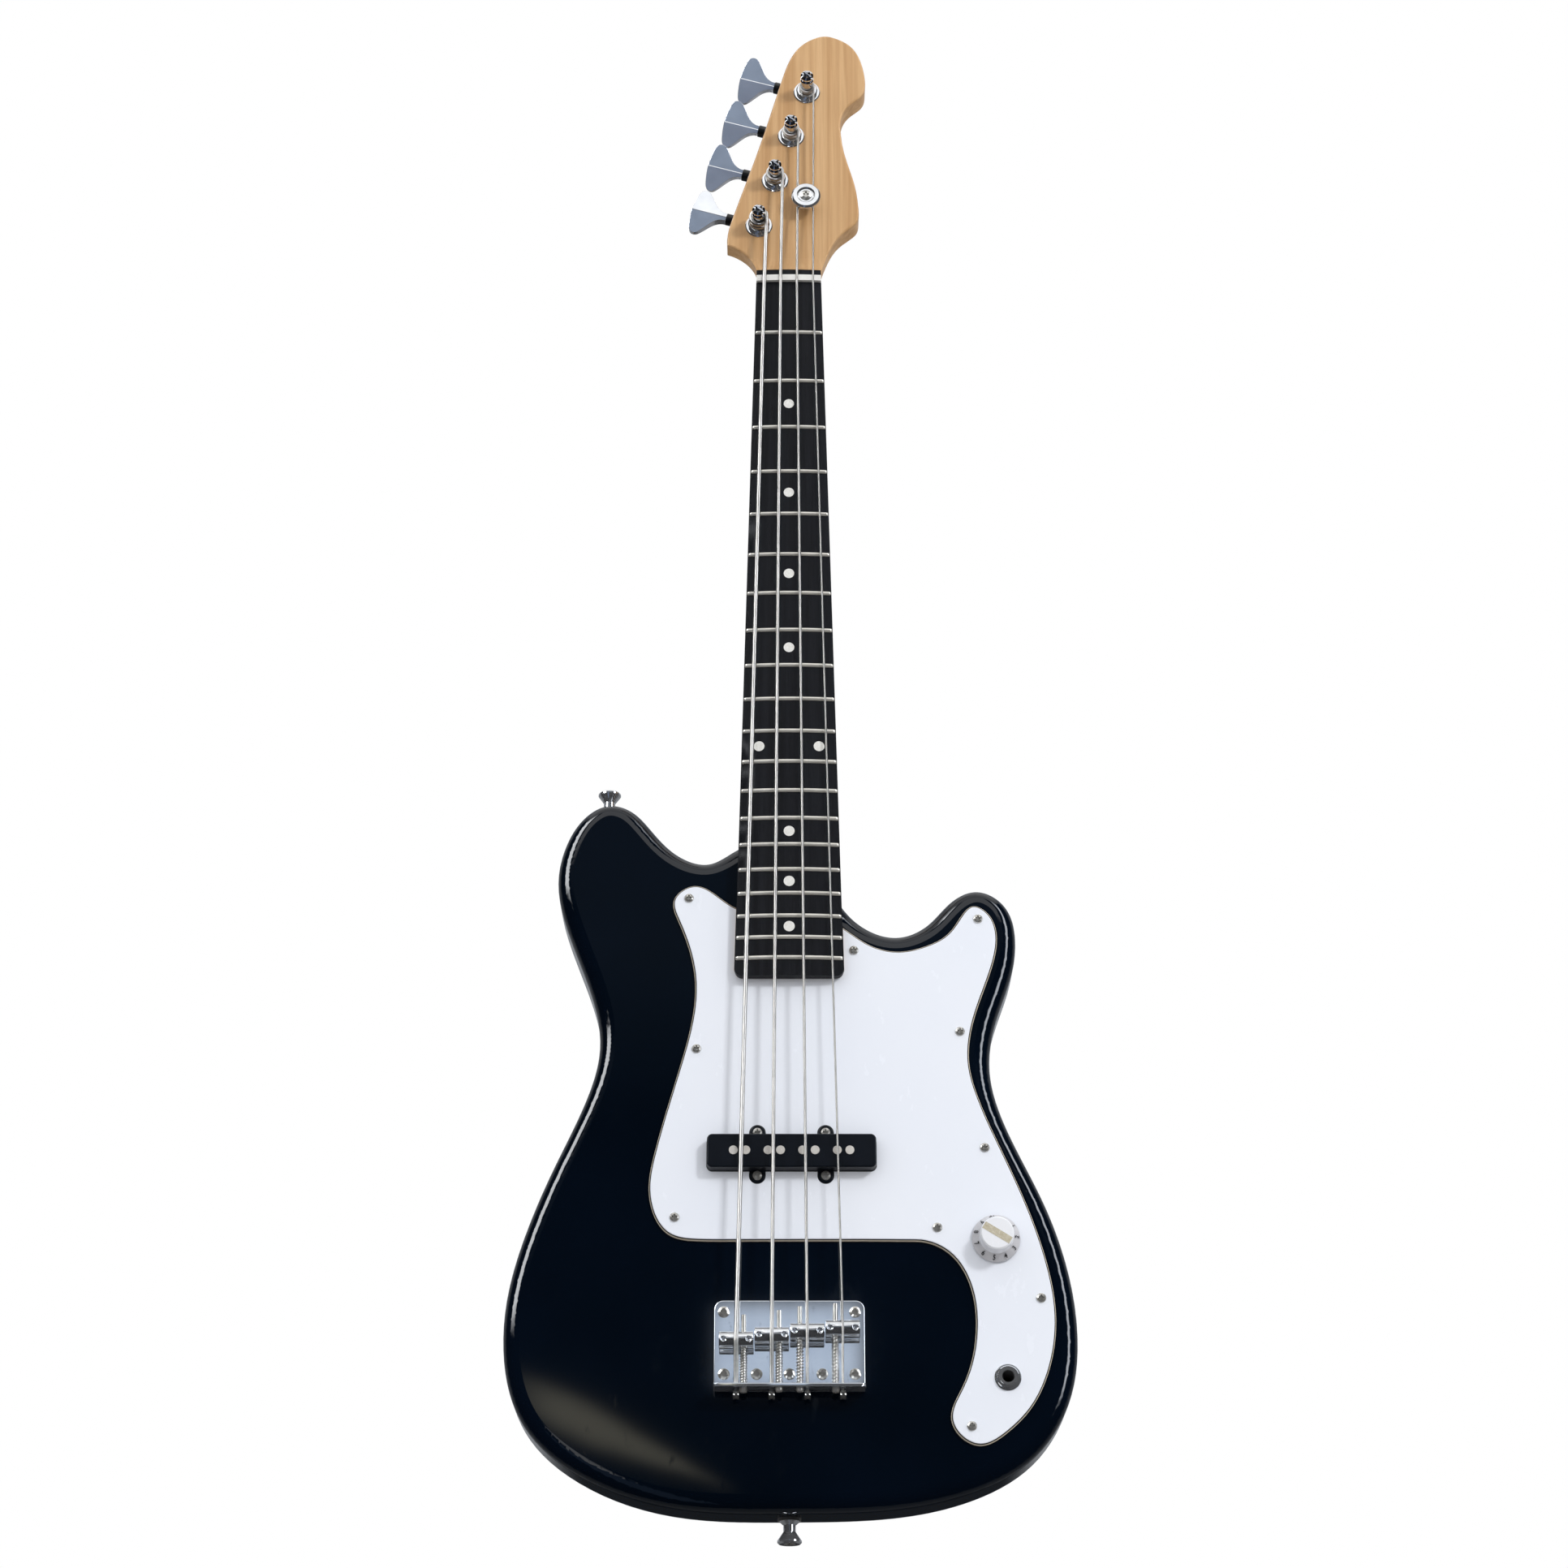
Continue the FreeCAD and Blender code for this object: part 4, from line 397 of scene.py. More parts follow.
def piece(name, slot, body, grids):
    """One mesh from several grids of points, riding on a body if one is named.

    Each grid is (points, uv): points is an (n, m, 3) array in millimetres, whose faces join each ring of
    m points to the next ring, and uv, if given, is an (n, m + 1, 2) array for the corners.
    """
    verts, faces, corners, count = [], [], [], 0
    for points, uv in grids:
        n, m = points.shape[:2]
        i, j = (index.ravel() for index in np.meshgrid(np.arange(n - 1), np.arange(m), indexing="ij"))
        a, b = i * m + j, (i + 1) * m + j
        c, d = (i + 1) * m + (j + 1) % m, i * m + (j + 1) % m
        faces.append(np.stack([a, b, c, d], 1) + count)
        verts.append(points.reshape(-1, 3) * MM)
        if uv is None:
            uv = np.zeros((n, m + 1, 2))
        corner_uv = np.stack([uv[i, j], uv[i + 1, j], uv[i + 1, j + 1], uv[i, j + 1]], 1)
        corners.append(corner_uv.reshape(-1, 2))
        count += n * m
    mesh = bpy.data.meshes.new(name)
    mesh.from_pydata(np.concatenate(verts).tolist(), [], np.concatenate(faces).tolist())
    mesh.uv_layers.new(name="wrap").data.foreach_set("uv", np.concatenate(corners).ravel())
    return placed(name, slot, body, mesh)


def placed(name, slot, body, mesh):
    """Merges doubles, turns the faces outwards, shades smoothly and puts the mesh on its body, if any."""
    work = bmesh.new()
    work.from_mesh(mesh)
    bmesh.ops.remove_doubles(work, verts=work.verts, dist=1e-7)
    bmesh.ops.dissolve_degenerate(work, edges=work.edges, dist=1e-8)
    bmesh.ops.recalc_face_normals(work, faces=work.faces)
    work.to_mesh(mesh)
    work.free()
    mesh.shade_smooth()
    mesh.set_sharp_from_angle(angle=SMOOTH_TURN)
    mesh.materials.append(FINISH[slot])
    made = bpy.data.objects.new(name, mesh)
    scene.collection.objects.link(made)
    if body:
        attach(made, body)
    return made


def unit(v):
    """Vectors scaled to length one."""
    return v / np.linalg.norm(v, axis=-1, keepdims=True)


def ways_along(path):
    """Unit way of a path at each of its points."""
    return unit(np.gradient(path, axis=0))


def swept_tube(path, tangent, radius, aside, sides, wraps):
    """Round wire along a path: path + radius * (cos a * N + sin a * B), N = T x aside, B = T x N.

    Both ends close on the path's own end points. UV V is the length divided by wraps, U the turn.
    """
    normal = unit(np.cross(tangent, aside))
    across = np.cross(tangent, normal)
    angle = np.linspace(0, TURN, sides, endpoint=False)[None, :, None]
    ring = path[:, None] + radius * (np.cos(angle) * normal[:, None] + np.sin(angle) * across[:, None])
    caps = np.broadcast_to(path[[0, -1], None], (2, sides, 3))
    points = np.concatenate([caps[:1], ring, caps[1:]])
    length = np.concatenate([[0], np.cumsum(np.linalg.norm(np.diff(path, axis=0), axis=1))])
    length = np.concatenate([[0], length, length[-1:]]) / wraps
    turn = np.arange(sides + 1) / sides
    uv = np.stack(np.broadcast_arrays(turn[None, :], length[:, None]), -1)
    return points, uv


def lathe(centre, axis, profile, sides):
    """Profile of (radius, height) turned about an axis: centre + height * axis + radius * (cos a, sin a)."""
    axis = np.asarray(axis, float)
    first = unit(np.cross(axis, (0.31, 0.22, 0.92)))
    second = np.cross(axis, first)
    profile = np.asarray(profile, float)
    angle = np.linspace(0, TURN, sides, endpoint=False)[None, :, None]
    ring = np.cos(angle) * first + np.sin(angle) * second
    points = np.asarray(centre) + profile[:, 1, None, None] * axis + profile[:, 0, None, None] * ring
    return points, None


def bent_run(corners, radii):
    """Straight runs whose corners turn on arcs.

    At a corner where unit way u turns to v by angle t, the arc of radius r starts r * tan(t / 2) before
    the corner and is centre - r * cos(s) * n + r * sin(s) * u, with n the way to the centre.
    """
    corners = np.asarray(corners, float)
    run = [corners[:1]]
    for before, corner, after, radius in zip(corners, corners[1:], corners[2:], radii):
        u, v = unit(corner - before), unit(after - corner)
        turn = math.acos(min(1.0, float(u @ v)))
        n = unit(v - u * (u @ v))
        start = corner - u * radius * math.tan(turn / 2)
        s = np.linspace(0, turn, 3 + int(turn / 0.05))[:, None]
        run.append(start + radius * n - radius * n * np.cos(s) + radius * u * np.sin(s))
    run.append(corners[-1:])
    return np.concatenate(run)


def touching(point, centre, radius):
    """The two places where lines from a point touch a circle: the way to the point is turned either way
    by acos(radius / distance)."""
    px, py = np.subtract(point, centre)
    towards, opening = math.atan2(py, px), math.acos(radius / math.hypot(px, py))
    return [(centre[0] + radius * math.cos(angle), centre[1] + radius * math.sin(angle))
            for angle in (towards - opening, towards + opening)]


# Bridge and string layout, in millimetres

STRINGS = "eadg"
GAUGES = (2.5, 2.05, 1.6, 1.15)
SCALE_LENGTH = 648.0
ARCH_R, ARCH_Y = 240.0, 234.0
FRET_HEIGHT, NUT_LIFT, NUT_PITCH = 1.1, 0.8, 10.0
SADDLE_R, SADDLE_PITCH, SADDLE_TOP = 4.6, 18.8, -10.4
SADDLE_BACK, SADDLE_STAGGER, SADDLE_GAP = 11.4, 2.03, 0.1
BRIDGE_REAR, LIP_FRONT, HOLE_Y = -685.1, -683.1, -2.6
BALL_DROP, BALL_SIDES, SCREW_ASIDE = 2.9, 28, 3.9
BALL_PROFILE = [(0.0, -1.7), (1.9, -1.7), (2.45, -1.5), (2.6, -1.15), (2.45, -0.7), (2.1, -0.4),
                (2.1, 0.4), (2.45, 0.7), (2.6, 1.15), (2.45, 1.5), (1.9, 1.7), (0.0, 1.7)]
POST_R, POST_SLOPE, POST_PITCH = 3.4, math.radians(16.6), 35.3
FIRST_POST_X, FIRST_POST_Z = -18.6, 49.1
BUSHING_TOP, RETAINER_Y, RETAINER_Z = 2.8, -3.2, 55.4
WIND_GAP, WIND_SPACE, WIND_TURNS = 0.3, 0.65, 2
WIND_POINTS, END_POINTS = 120, 8
STRING_BEND_R, END_BEND_SHARE, END_DEPTH = 14.0, 1.02, 1.5
WRAP_SHARE, STRING_SIDES = 0.2, 16
TAKE_UP, TAKE_UP_STEPS = 60.0, 16
HIDDEN_RINGS, HIDDEN_SHARE = 4, 0.48

saddle_x = [(i - 1.5) * SADDLE_PITCH for i in range(4)]
saddle_y = [SADDLE_TOP + SADDLE_R + ARCH_R - math.sqrt(ARCH_R ** 2 - x ** 2) for x in saddle_x]
saddle_z = [-SCALE_LENGTH - SADDLE_BACK + SADDLE_STAGGER * i for i in range(4)]
posts = [(FIRST_POST_X + POST_PITCH * i * math.sin(POST_SLOPE),
          FIRST_POST_Z + POST_PITCH * i * math.cos(POST_SLOPE)) for i in range(4)]


def saddle_crest(i, nut_y, rest_r):
    """Height and place where the string's two straight runs, to the nut and to the lip's hole, would meet
    over the saddle, and the rear run's rise."""
    centre = (saddle_y[i], saddle_z[i])
    front = min(touching((nut_y, 0.0), centre, rest_r))
    rear = min(touching((HOLE_Y, BRIDGE_REAR), centre, rest_r))
    rise_front = (front[0] - nut_y) / front[1]
    rise_rear = (rear[0] - HOLE_Y) / (rear[1] - BRIDGE_REAR)
    crest_z = (nut_y - HOLE_Y + rise_rear * BRIDGE_REAR) / (rise_rear - rise_front)
    return nut_y + rise_front * crest_z, crest_z, rise_rear


def string_path(i):
    """From the ball end over the saddle and nut, under the retainer for the two thinner strings, to two
    turns round the post that climb towards the headstock, and into the post's cross hole.

    With the path come the ball's centre and the points where the string leaves its saddle and meets
    its post. The runs on both sides of the saddle have extra points.
    """
    gauge, half = GAUGES[i], GAUGES[i] / 2
    nut_x = (i - 1.5) * NUT_PITCH
    nut_y = ARCH_Y - math.sqrt(ARCH_R ** 2 - nut_x ** 2) - FRET_HEIGHT - NUT_LIFT - half
    rest_r = SADDLE_R + SADDLE_GAP + half
    crest_y, crest_z, rise_rear = saddle_crest(i, nut_y, rest_r)
    ball = np.array((saddle_x[i], HOLE_Y - rise_rear * BALL_DROP, BRIDGE_REAR - BALL_DROP))
    corners = [ball, (saddle_x[i], crest_y, crest_z), (nut_x, nut_y, 0.0)]
    radii = [rest_r, STRING_BEND_R]
    wind_r = POST_R + WIND_GAP + half
    pitch = gauge + WIND_SPACE
    wind_y = BUSHING_TOP - WIND_GAP - half - WIND_TURNS * pitch
    start = (nut_x, 0.0)
    if i > 1:
        far = max(touching(start, posts[i], wind_r))
        start = (nut_x + (far[0] - nut_x) * RETAINER_Z / far[1], RETAINER_Z)
        corners.append((start[0], RETAINER_Y + WIND_GAP + half, RETAINER_Z))
        radii.append(STRING_BEND_R)
    touch = max(touching(start, posts[i], wind_r))
    corners.append((touch[0], wind_y, touch[1]))
    run = bent_run(corners, radii)
    leaves = int(np.argmax(np.diff(run[:, 2])))
    ahead = run[leaves + 1] - run[leaves]
    near = run[leaves] + ahead * TAKE_UP / ahead[2]
    run = np.concatenate([np.linspace(run[0], run[1], TAKE_UP_STEPS, endpoint=False), run[1:leaves],
                          np.linspace(run[leaves], near, TAKE_UP_STEPS), run[leaves + 1:]])
    first = math.atan2(touch[1] - posts[i][1], touch[0] - posts[i][0])
    a = np.linspace(0, WIND_TURNS * TURN, WIND_POINTS)
    coil = np.stack([posts[i][0] + wind_r * np.cos(first + a), wind_y + pitch * a / TURN,
                     posts[i][1] + wind_r * np.sin(first + a)], 1)
    last = first + a[-1]
    inward = -np.array((math.cos(last), 0, math.sin(last)))
    onward = np.array((-math.sin(last), 0, math.cos(last)))
    s = np.linspace(0, np.pi / 2, END_POINTS)[1:, None]
    tail = coil[-1] + gauge * END_BEND_SHARE * (np.sin(s) * onward + (1 - np.cos(s)) * inward)
    path = np.concatenate([run[:-1], coil, tail, tail[-1:] + END_DEPTH * inward])
    return path, ball, leaves + TAKE_UP_STEPS - 1, len(run) - 1


def string_part(name, letter, body, path, ways, radius, gauge):
    """One length of a string, as a piece that stands for the string's node."""
    wire = swept_tube(path, ways, radius, (0.0, 1.0, 0.0), STRING_SIDES, WRAP_SHARE * gauge)
    made = piece(name + letter, "string_metal", body, [wire])
    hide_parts("string_" + letter)
    return made


# A string's turns ride on the post. The long run goes on for a few rings inside the first turn, a
# little thinner than it.
for i, (letter, gauge) in enumerate(zip(STRINGS, GAUGES)):
    path, ball, leaves, meets = string_path(i)
    ways = ways_along(path)
    ends = meets + HIDDEN_RINGS
    shares = np.where(np.arange(len(path)) > meets, HIDDEN_SHARE, 0.5)[:, None, None]
    tail = string_part("string_tail_", letter, None, path[:leaves + 1], ways[:leaves + 1], gauge / 2, gauge)
    long_run = string_part("string_wound_", letter, None, path[leaves:ends], ways[leaves:ends],
                           shares[leaves:ends] * gauge, gauge)
    string_part("string_coil_", letter, "post_" + letter, path[meets:], ways[meets:], gauge / 2, gauge)
    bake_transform(tail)
    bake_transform(long_run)
    turned_ball = lathe(ball, (1, 0, 0), BALL_PROFILE, BALL_SIDES)
    ball_end = piece("string_ball_" + letter, "steel", "instrument", [turned_ball])
    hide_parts("string_" + letter)


# Saddle springs

SPRING_TURNS, SPRING_R, SPRING_WIRE_R, SPRING_GAP = 13, 1.75, 0.3, 0.35
SPRING_SIDES, SPRING_STEPS, SPRING_SWAY_SHARE = 10, 20, 0.002

for i, letter in enumerate(STRINGS):
    screw_x = saddle_x[i] - math.copysign(SCREW_ASIDE, saddle_x[i])
    low, high = LIP_FRONT + SPRING_GAP, saddle_z[i] - SADDLE_R - SPRING_GAP
    turns = np.linspace(0, SPRING_TURNS, SPRING_TURNS * SPRING_STEPS)
    share = turns / SPRING_TURNS
    coil = np.stack([screw_x + SPRING_R * np.cos(TURN * turns),
                     saddle_y[i] + SPRING_R * np.sin(TURN * turns),
                     low + (high - low) * (share + SPRING_SWAY_SHARE * np.sin(TURN * share))], 1)
    wire = swept_tube(coil, ways_along(coil), SPRING_WIRE_R, (0.0, 0.0, 1.0), SPRING_SIDES, 1.0)
    spring = piece("saddle_spring_" + letter, "steel", None, [wire])
    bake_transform(spring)
    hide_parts("saddle_springs")


# Frets

FRET_COUNT, FRET_HALF, FRET_INSET, FRET_SLOPE = 20, 1.2, 0.3, 0.9
FRET_END_RISE_SHARE, FRET_END_WIDTH_SHARE = 0.35, 0.75
FRET_STATIONS, FRET_SIDES = 49, 15
NUT_HALF, BOARD_FLARE, BOARD_RUN = 20.0, 10.5, 454.49


def crowned_fret(number):
    """One fret: across the board it follows the arch y = ARCH_Y - sqrt(ARCH_R^2 - x^2), and in section its
    crown is a half ellipse. The crown runs out on a short slope at each end."""
    z = SCALE_LENGTH * (2 ** (-number / 12) - 1)
    half = NUT_HALF + BOARD_FLARE * z / -BOARD_RUN - FRET_INSET
    x = half * np.sin(np.linspace(-np.pi / 2, np.pi / 2, FRET_STATIONS))
    slope = np.clip((half - np.abs(x)) / FRET_SLOPE, 0, 1)
    arch = ARCH_Y - np.sqrt(ARCH_R ** 2 - x ** 2)
    a = np.linspace(0, np.pi, FRET_SIDES)
    rise_share = FRET_END_RISE_SHARE + (1 - FRET_END_RISE_SHARE) * slope
    width_share = FRET_END_WIDTH_SHARE + (1 - FRET_END_WIDTH_SHARE) * slope
    rise = FRET_HEIGHT * rise_share[:, None] * np.sin(a)
    width = FRET_HALF * width_share[:, None] * np.cos(a)
    crown = np.stack(np.broadcast_arrays(x[:, None], arch[:, None] - rise, z + width), -1)
    middle = np.stack([x, arch, np.full_like(x, z)], -1)
    crown[0], crown[-1] = middle[0], middle[-1]
    return crown, None


crowns = [crowned_fret(number) for number in range(1, FRET_COUNT + 1)]
frets = piece("frets_crowned", "fret_metal", "instrument", crowns)
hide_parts("frets")


# Pieces with softened edges

FLAT_TURN, RIDGE_TURN, EDGE_TURN = (math.radians(degrees) for degrees in (0.6, 3, 25))
BROAD_FACE = 50 * MM * MM


def edge_share(edge, rim, crisp):
    """How much of the round-over an edge gets: all of it on a ridge between two broad faces, the rim share,
    if there is one, on any other edge that turns enough, and none elsewhere or in the crisp box."""
    x, _, z = (edge.verts[0].co + edge.verts[1].co) / 2 / MM
    if crisp and crisp[0][0] < x < crisp[0][1] and crisp[1][0] < z < crisp[1][1]:
        return 0.0
    turn = edge.calc_face_angle(0.0)
    if turn > RIDGE_TURN and min(face.calc_area() for face in edge.link_faces) > BROAD_FACE:
        return 1.0
    return (rim or 1.0) * float(turn > EDGE_TURN)


def eased(name, node_name, slot, body, width, segments=2, rim=None, crisp=None):
    """Copy of a CAD node with its doubles merged and its edges rounded over by width times their share.
    With a rim share, flat faces are joined first. Edges whose middle lies in the crisp box, given as
    (x, z) limits in millimetres, stay sharp."""
    mesh = frame["nodes"][node_name].data.copy()
    mesh.materials.clear()
    mesh.attributes.remove(mesh.attributes["custom_normal"])
    work = bmesh.new()
    work.from_mesh(mesh)
    bmesh.ops.remove_doubles(work, verts=work.verts, dist=2e-6)
    if rim:
        bmesh.ops.dissolve_limit(work, angle_limit=FLAT_TURN, verts=work.verts, edges=work.edges)
    weight = work.edges.layers.float.new("bevel_weight_edge")
    for edge in work.edges:
        edge[weight] = edge_share(edge, rim, crisp)
    work.to_mesh(mesh)
    work.free()
    made = placed(name, slot, body, mesh)
    edges = len(mesh.edges)
    sharp, rounded = np.zeros(edges, bool), np.zeros(edges)
    mesh.attributes["sharp_edge"].data.foreach_get("value", sharp)
    mesh.attributes["bevel_weight_edge"].data.foreach_get("value", rounded)
    mesh.attributes["sharp_edge"].data.foreach_set("value", sharp & (rounded == 0))
    bevel = made.modifiers.new("round_over", "BEVEL")
    bevel.width = width * MM
    bevel.segments = segments
    bevel.limit_method = "WEIGHT"
    bevel.use_clamp_overlap = False
    bevel.harden_normals = True
    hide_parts(node_name)


PICKUP_Z, POLE_ROW_X, POLE_ROW_Z = -555.6, 42, 4.5
pole_row = ((-POLE_ROW_X, POLE_ROW_X), (PICKUP_Z - POLE_ROW_Z, PICKUP_Z + POLE_ROW_Z))
eased("bridge_plate_eased", "bridge_plate", "bridge_chrome", "instrument", 0.6)
eased("pickup_cover_eased", "pickup_cover", "pickup_plastic", "instrument", 0.9, 3, crisp=pole_row)
for letter in STRINGS:
    eased("tuner_key_eased_" + letter, "tuner_key_" + letter, "key_chrome", "key_" + letter, 0.5, rim=0.4)
    eased("saddle_eased_" + letter, "saddle_" + letter, "saddle_chrome", "saddle_" + letter, 0.35)


# Dial numbers on the knob's skirt

KNOB_X, KNOB_Z = 111.134, -602.931
SKIRT_R, SKIRT_Y, SKIRT_RISE, SKIRT_RUN = 13.0, -0.7, 2.8, 3.0
NUMBER_R, NUMBER_SIZE, NUMBER_WEIGHT = 11.35, 3.2, 0.06
INK_LIFT, INK_THICKNESS = 0.05, 0.00004
FIRST_NUMBER_DEGREES, NUMBER_STEP_DEGREES = 34, 32.8


def dial_number(text, degrees):
    """A number laid on the skirt's cone: text x runs round the axis, text y runs inwards, and the depth
    follows the cone, which rises by SKIRT_RISE as the radius shrinks by SKIRT_RUN."""
    curve = bpy.data.curves.new("number_" + text, "FONT")
    curve.body = text
    curve.size = NUMBER_SIZE
    curve.align_x = "CENTER"
    curve.align_y = "CENTER"
    curve.offset = NUMBER_WEIGHT
    holder = bpy.data.objects.new("number_" + text, curve)
    scene.collection.objects.link(holder)
    bpy.context.view_layer.update()
    flat = bpy.data.meshes.new_from_object(holder.evaluated_get(bpy.context.evaluated_depsgraph_get()))
    bpy.data.objects.remove(holder)
    flat_points = np.empty(len(flat.vertices) * 3)
    flat.vertices.foreach_get("co", flat_points)
    u, v, _ = flat_points.reshape(-1, 3).T
    radius = NUMBER_R - v
    angle = math.radians(degrees) + u / radius
    depth = SKIRT_Y - SKIRT_RISE * (SKIRT_R - radius) / SKIRT_RUN - INK_LIFT
    bent = np.stack([KNOB_X + radius * np.cos(angle), depth, KNOB_Z + radius * np.sin(angle)], -1) * MM
    flat.vertices.foreach_set("co", bent.ravel())
    flat.materials.clear()
    number = placed("dial_number_" + text, "black_plastic", "knob", flat)
    thick = number.modifiers.new("ink", "SOLIDIFY")
    thick.thickness = INK_THICKNESS
    thick.offset = 0


for count in range(10):
    dial_number(str(count + 1), FIRST_NUMBER_DEGREES - NUMBER_STEP_DEGREES * count)


# Floor, light and camera

FLOOR_SIDE, FLOOR_Z = 30.0, -1.35
DARK, DIM = (0.014, 0.015, 0.018, 1), (0.085, 0.1, 0.12, 1)
WHITE, BRIGHT = (1, 1, 1, 1), (1.35, 1.36, 1.37, 1)
WALL_LOW, WALL_HIGH, DOORWAY = (0.14, 0.145, 0.15, 1), (0.4, 0.42, 0.45, 1), (0.022, 0.024, 0.027, 1)
FILL = (0.98, 0.985, 0.998, 1)
WARM_GLOW = (1.75, 1.64, 1.24, 1)

# Where the room's parts begin and are whole, in turn or in rise.
WALL_GRADE, WALL_EDGE, CEILING_EDGE = (-0.5, 0.5), (1.7, 2.1), (0.80, 0.88)
DOORWAY_EDGE, DOORWAY_UP = (2.72, 2.85), (-0.6, 0.02, 0.08)
CARD_GRADE, CARD_EDGE = (0.25, 0.6), (0.50, 0.42)

# The warm blade: its middle line is WARM_RISE - WARM_SLOPE * turn, and its girth falls along WARM_TAPER.
WARM_SLOPE, WARM_RISE, WARM_ACROSS = 0.42, 0.181, (-0.084, -0.024, 0.012)
WARM_TAPER, WARM_GIRTHS, WARM_EDGE = (-0.062, -0.028), (0.0088, 0.0018), (1.0, 0.2)

# Soft-edged patches and strip lights: turn (low, high, soft), rise (low, high, soft), colour.
PLATE_PATCH = (-0.0245, 0.0252, 0.002), (0.2195, 0.2445, 0.002), (0.58, 0.67, 0.80, 1)
UPPER_KEY_PATCH = (-0.17, -0.11, 0.006), (0.08, 0.285, 0.015), (0.175, 0.245, 0.36, 1)
LOWER_KEY_PATCH = (-0.42, -0.17, 0.03), (-0.88, -0.08, 0.05), (0.125, 0.17, 0.265, 1)
KEY_RIDGE_PATCH = (-0.25, -0.165, 0.02), (-0.13, 0.06, 0.02), (1.4, 1.41, 1.42, 1)
LEFT_STRIP = (-1.12, -0.66, 0.06), (0.27, 0.8, 0.06), (13.5, 13.8, 14.2, 1)
RIGHT_STRIP = (0.80, 1.06, 0.06), (-0.05, 0.8, 0.1), (9.8, 10.3, 11.2, 1)


def pale_floor():
    """Wide pale floor below the hanging instrument. The camera sees it paler than the light that it
    returns, and reflections do not see it."""
    corners = [(-1, -1), (1, -1), (1, 1), (-1, 1)]
    mesh = bpy.data.meshes.new("floor")
    mesh.from_pydata([(x * FLOOR_SIDE, y * FLOOR_SIDE, FLOOR_Z) for x, y in corners], [], [(0, 1, 2, 3)])
    material, tree, shader = new_material("pale_floor", Roughness=0.8, Specular_IOR_Level=0.1)
    marks = use_group(tree, HANDLING, Scale=1.5)
    pale = mixed(tree, marks["Tone"], tint(246, 246, 247), tint(248, 248, 249))
    seen = node(tree, "LightPath").outputs["Is Camera Ray"]
    tree.links.new(mixed(tree, seen, tint(175, 173, 171), pale), shader.inputs["Base Color"])
    mesh.materials.append(material)
    floor = bpy.data.objects.new("floor", mesh)
    floor.visible_glossy = False
    scene.collection.objects.link(floor)


def warm_share(tree, turn, rise):
    """A slanted blade that tapers to the right: one near its middle line, none past its girth."""
    off_line = sums(tree, "MULTIPLY_ADD", turn, WARM_SLOPE, sums(tree, "SUBTRACT", rise, WARM_RISE))
    girth = spread(tree, turn, *WARM_TAPER, *WARM_GIRTHS)
    off_share = sums(tree, "DIVIDE", sums(tree, "ABSOLUTE", off_line), girth)
    blade = spread(tree, off_share, *WARM_EDGE, smooth=True)
    return sums(tree, "MULTIPLY", band(tree, turn, *WARM_ACROSS), blade)


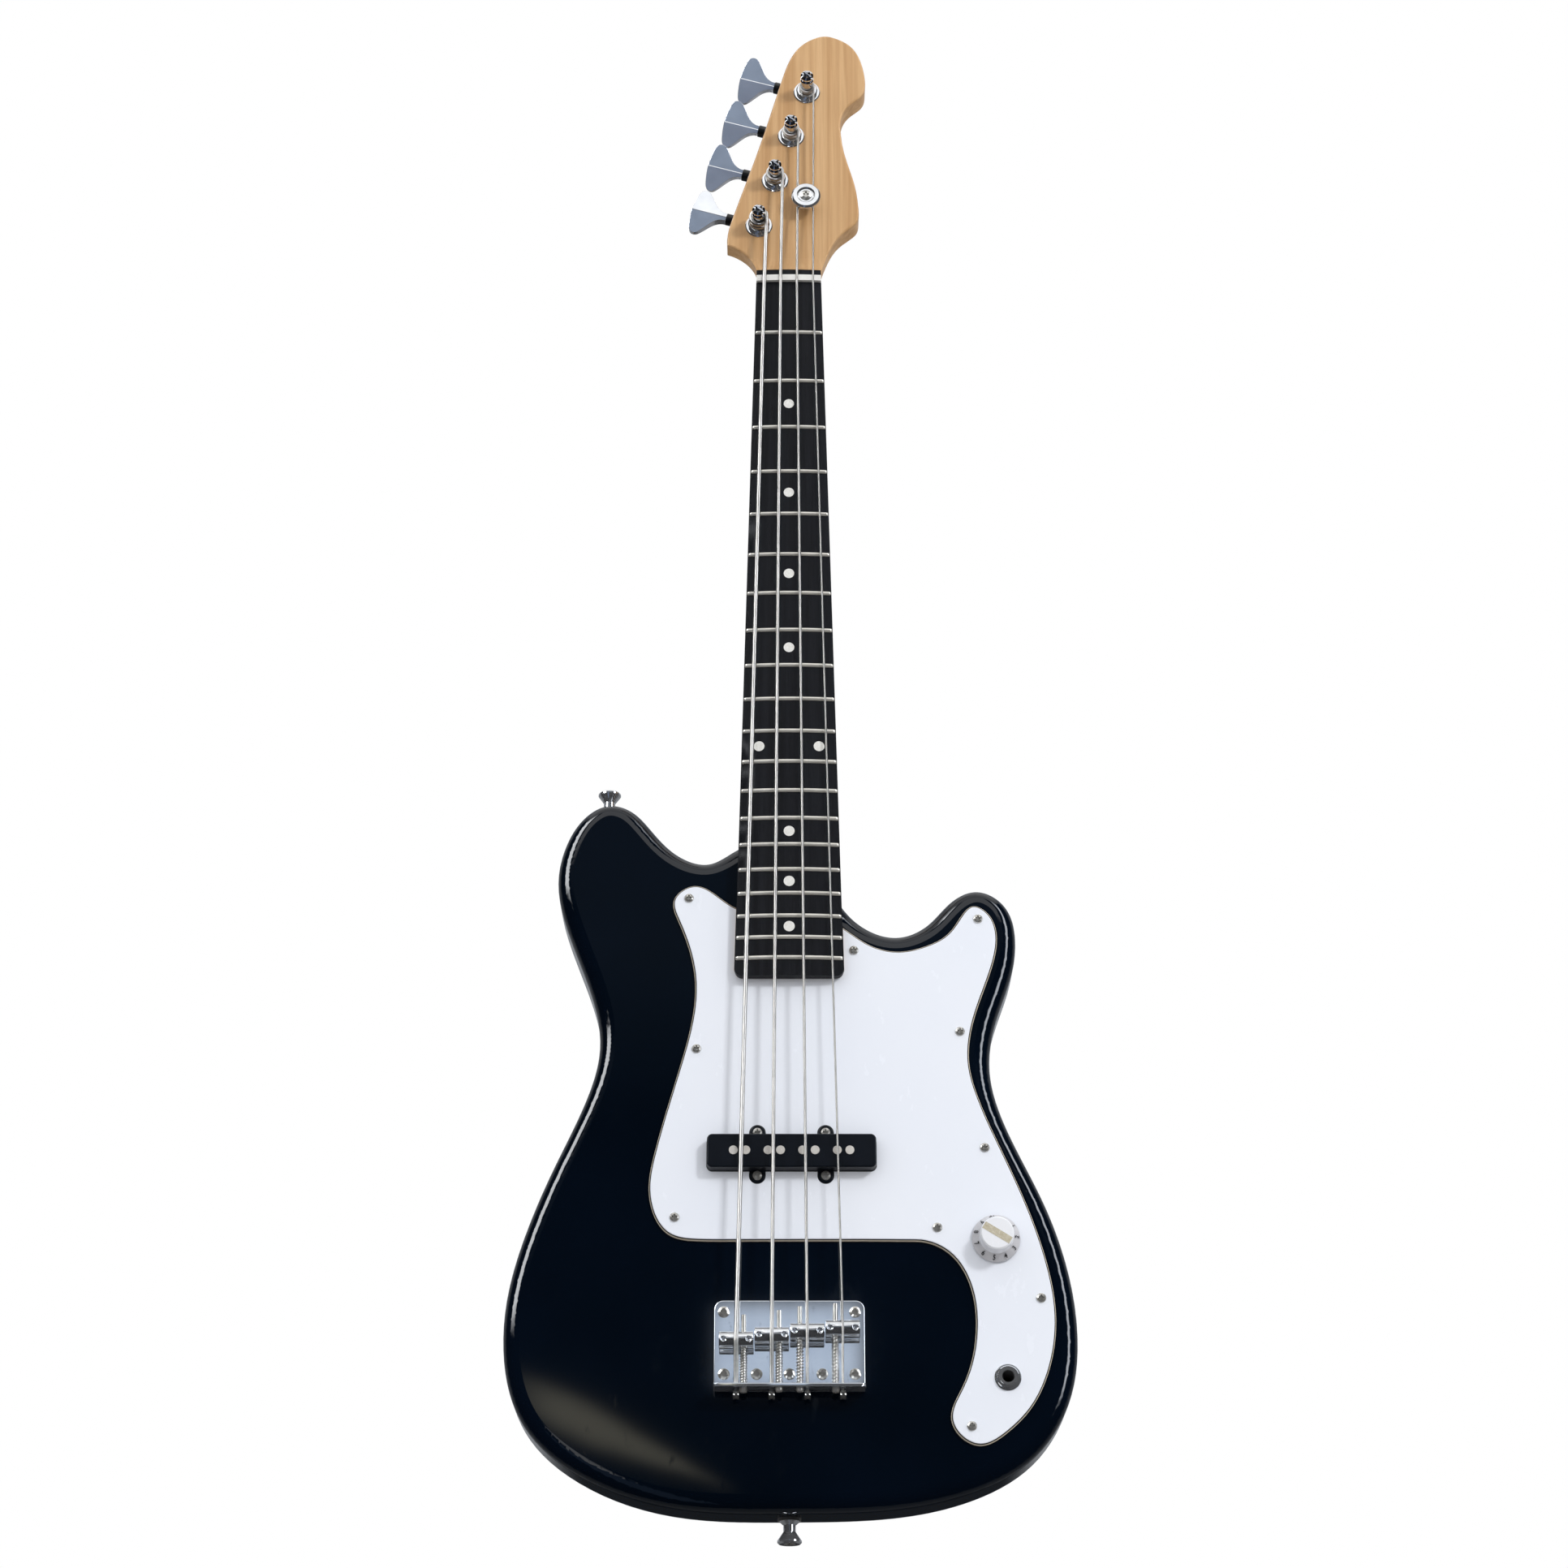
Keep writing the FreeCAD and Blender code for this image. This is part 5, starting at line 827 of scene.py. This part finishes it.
def studio_room(tree):
    """What reflections see, laid out by turn (angle from the camera's side, to the right) and rise (Z of
    the way): a grey wall behind with a dark doorway, dark sides, and ahead a card graded from dark to
    bright, with patches for the bridge plate and the tuner keys and a faint warm blade, then a white
    ceiling and a tall strip light on each side."""
    way = node(tree, "SeparateXYZ", {0: node(tree, "TexCoord").outputs["Generated"]}).outputs
    turn = sums(tree, "ARCTAN2", way["X"], sums(tree, "MULTIPLY", way["Y"], -1.0))
    aside = sums(tree, "ABSOLUTE", turn)
    rise = way["Z"]

    def patched(room, across, up, colour):
        """The room with one soft-edged patch of a colour."""
        share = sums(tree, "MULTIPLY", band(tree, turn, *across), band(tree, rise, *up))
        return mixed(tree, share, room, colour)

    wall = ramp(tree, spread(tree, rise, *WALL_GRADE), [(0.0, WALL_LOW), (1.0, WALL_HIGH)])
    room = mixed(tree, spread(tree, aside, *WALL_EDGE, smooth=True), DARK, wall)
    straight_behind = spread(tree, aside, *DOORWAY_EDGE, smooth=True)
    doorway = sums(tree, "MULTIPLY", straight_behind, band(tree, rise, *DOORWAY_UP))
    room = mixed(tree, doorway, room, DOORWAY)
    card = ramp(tree, spread(tree, rise, *CARD_GRADE), [
        (0.0, DARK), (0.15, DARK), (0.3, DIM), (0.46, DIM), (0.64, BRIGHT), (1.0, BRIGHT)])
    room = mixed(tree, spread(tree, aside, *CARD_EDGE, smooth=True), room, card)
    for patch in (PLATE_PATCH, UPPER_KEY_PATCH, LOWER_KEY_PATCH, KEY_RIDGE_PATCH):
        room = patched(room, *patch)
    room = mixed(tree, warm_share(tree, turn, rise), room, WARM_GLOW)
    room = mixed(tree, spread(tree, rise, *CEILING_EDGE, smooth=True), room, WHITE)
    for strip in (LEFT_STRIP, RIGHT_STRIP):
        room = patched(room, *strip)
    return room


def studio_world():
    """White to the camera, an even soft fill for diffuse light, and the studio room to reflections."""
    world = bpy.data.worlds.new("studio")
    scene.world = world
    world.use_nodes = True
    tree = world.node_tree
    tree.nodes.clear()
    fill, seen, shine = (node(tree, "Background", {0: colour, 1: 1.0}).outputs[0]
                         for colour in (FILL, WHITE, studio_room(tree)))
    ray = node(tree, "LightPath").outputs
    clear = sums(tree, "MAXIMUM", ray["Is Camera Ray"], ray["Is Transmission Ray"])
    first = node(tree, "MixShader", {0: clear, 1: fill, 2: seen}).outputs[0]
    second = node(tree, "MixShader", {0: ray["Is Glossy Ray"], 1: first, 2: shine}).outputs[0]
    node(tree, "OutputWorld", {0: second})


def lamp(name, place, target, size, power):
    """Square area lamp that faces a target and is not seen in reflections."""
    light = bpy.data.lights.new(name, "AREA")
    light.size = size
    light.energy = power
    made = bpy.data.objects.new(name, light)
    made.location = place
    x, y, z = np.subtract(target, place)
    made.rotation_euler = (math.atan2(math.hypot(x, y), -z), 0, math.atan2(y, x) - math.pi / 2)
    made.visible_glossy = False
    scene.collection.objects.link(made)


pale_floor()
studio_world()
lamp("key_right", (1.3, -1.7, 0.5), (0.0, 0.0, -0.5), 0.35, 20.0)

camera = bpy.data.objects.new("camera", bpy.data.cameras.new("camera"))
camera.location = (-0.00290, -1.59706, -1.04278)
camera.rotation_euler = (math.radians(113.88), 0, 0)
camera.data.lens = 69.95
camera.data.sensor_width = 36
camera.data.clip_end = 100
scene.collection.objects.link(camera)
scene.camera = camera
scene.view_settings.view_transform = "Standard"
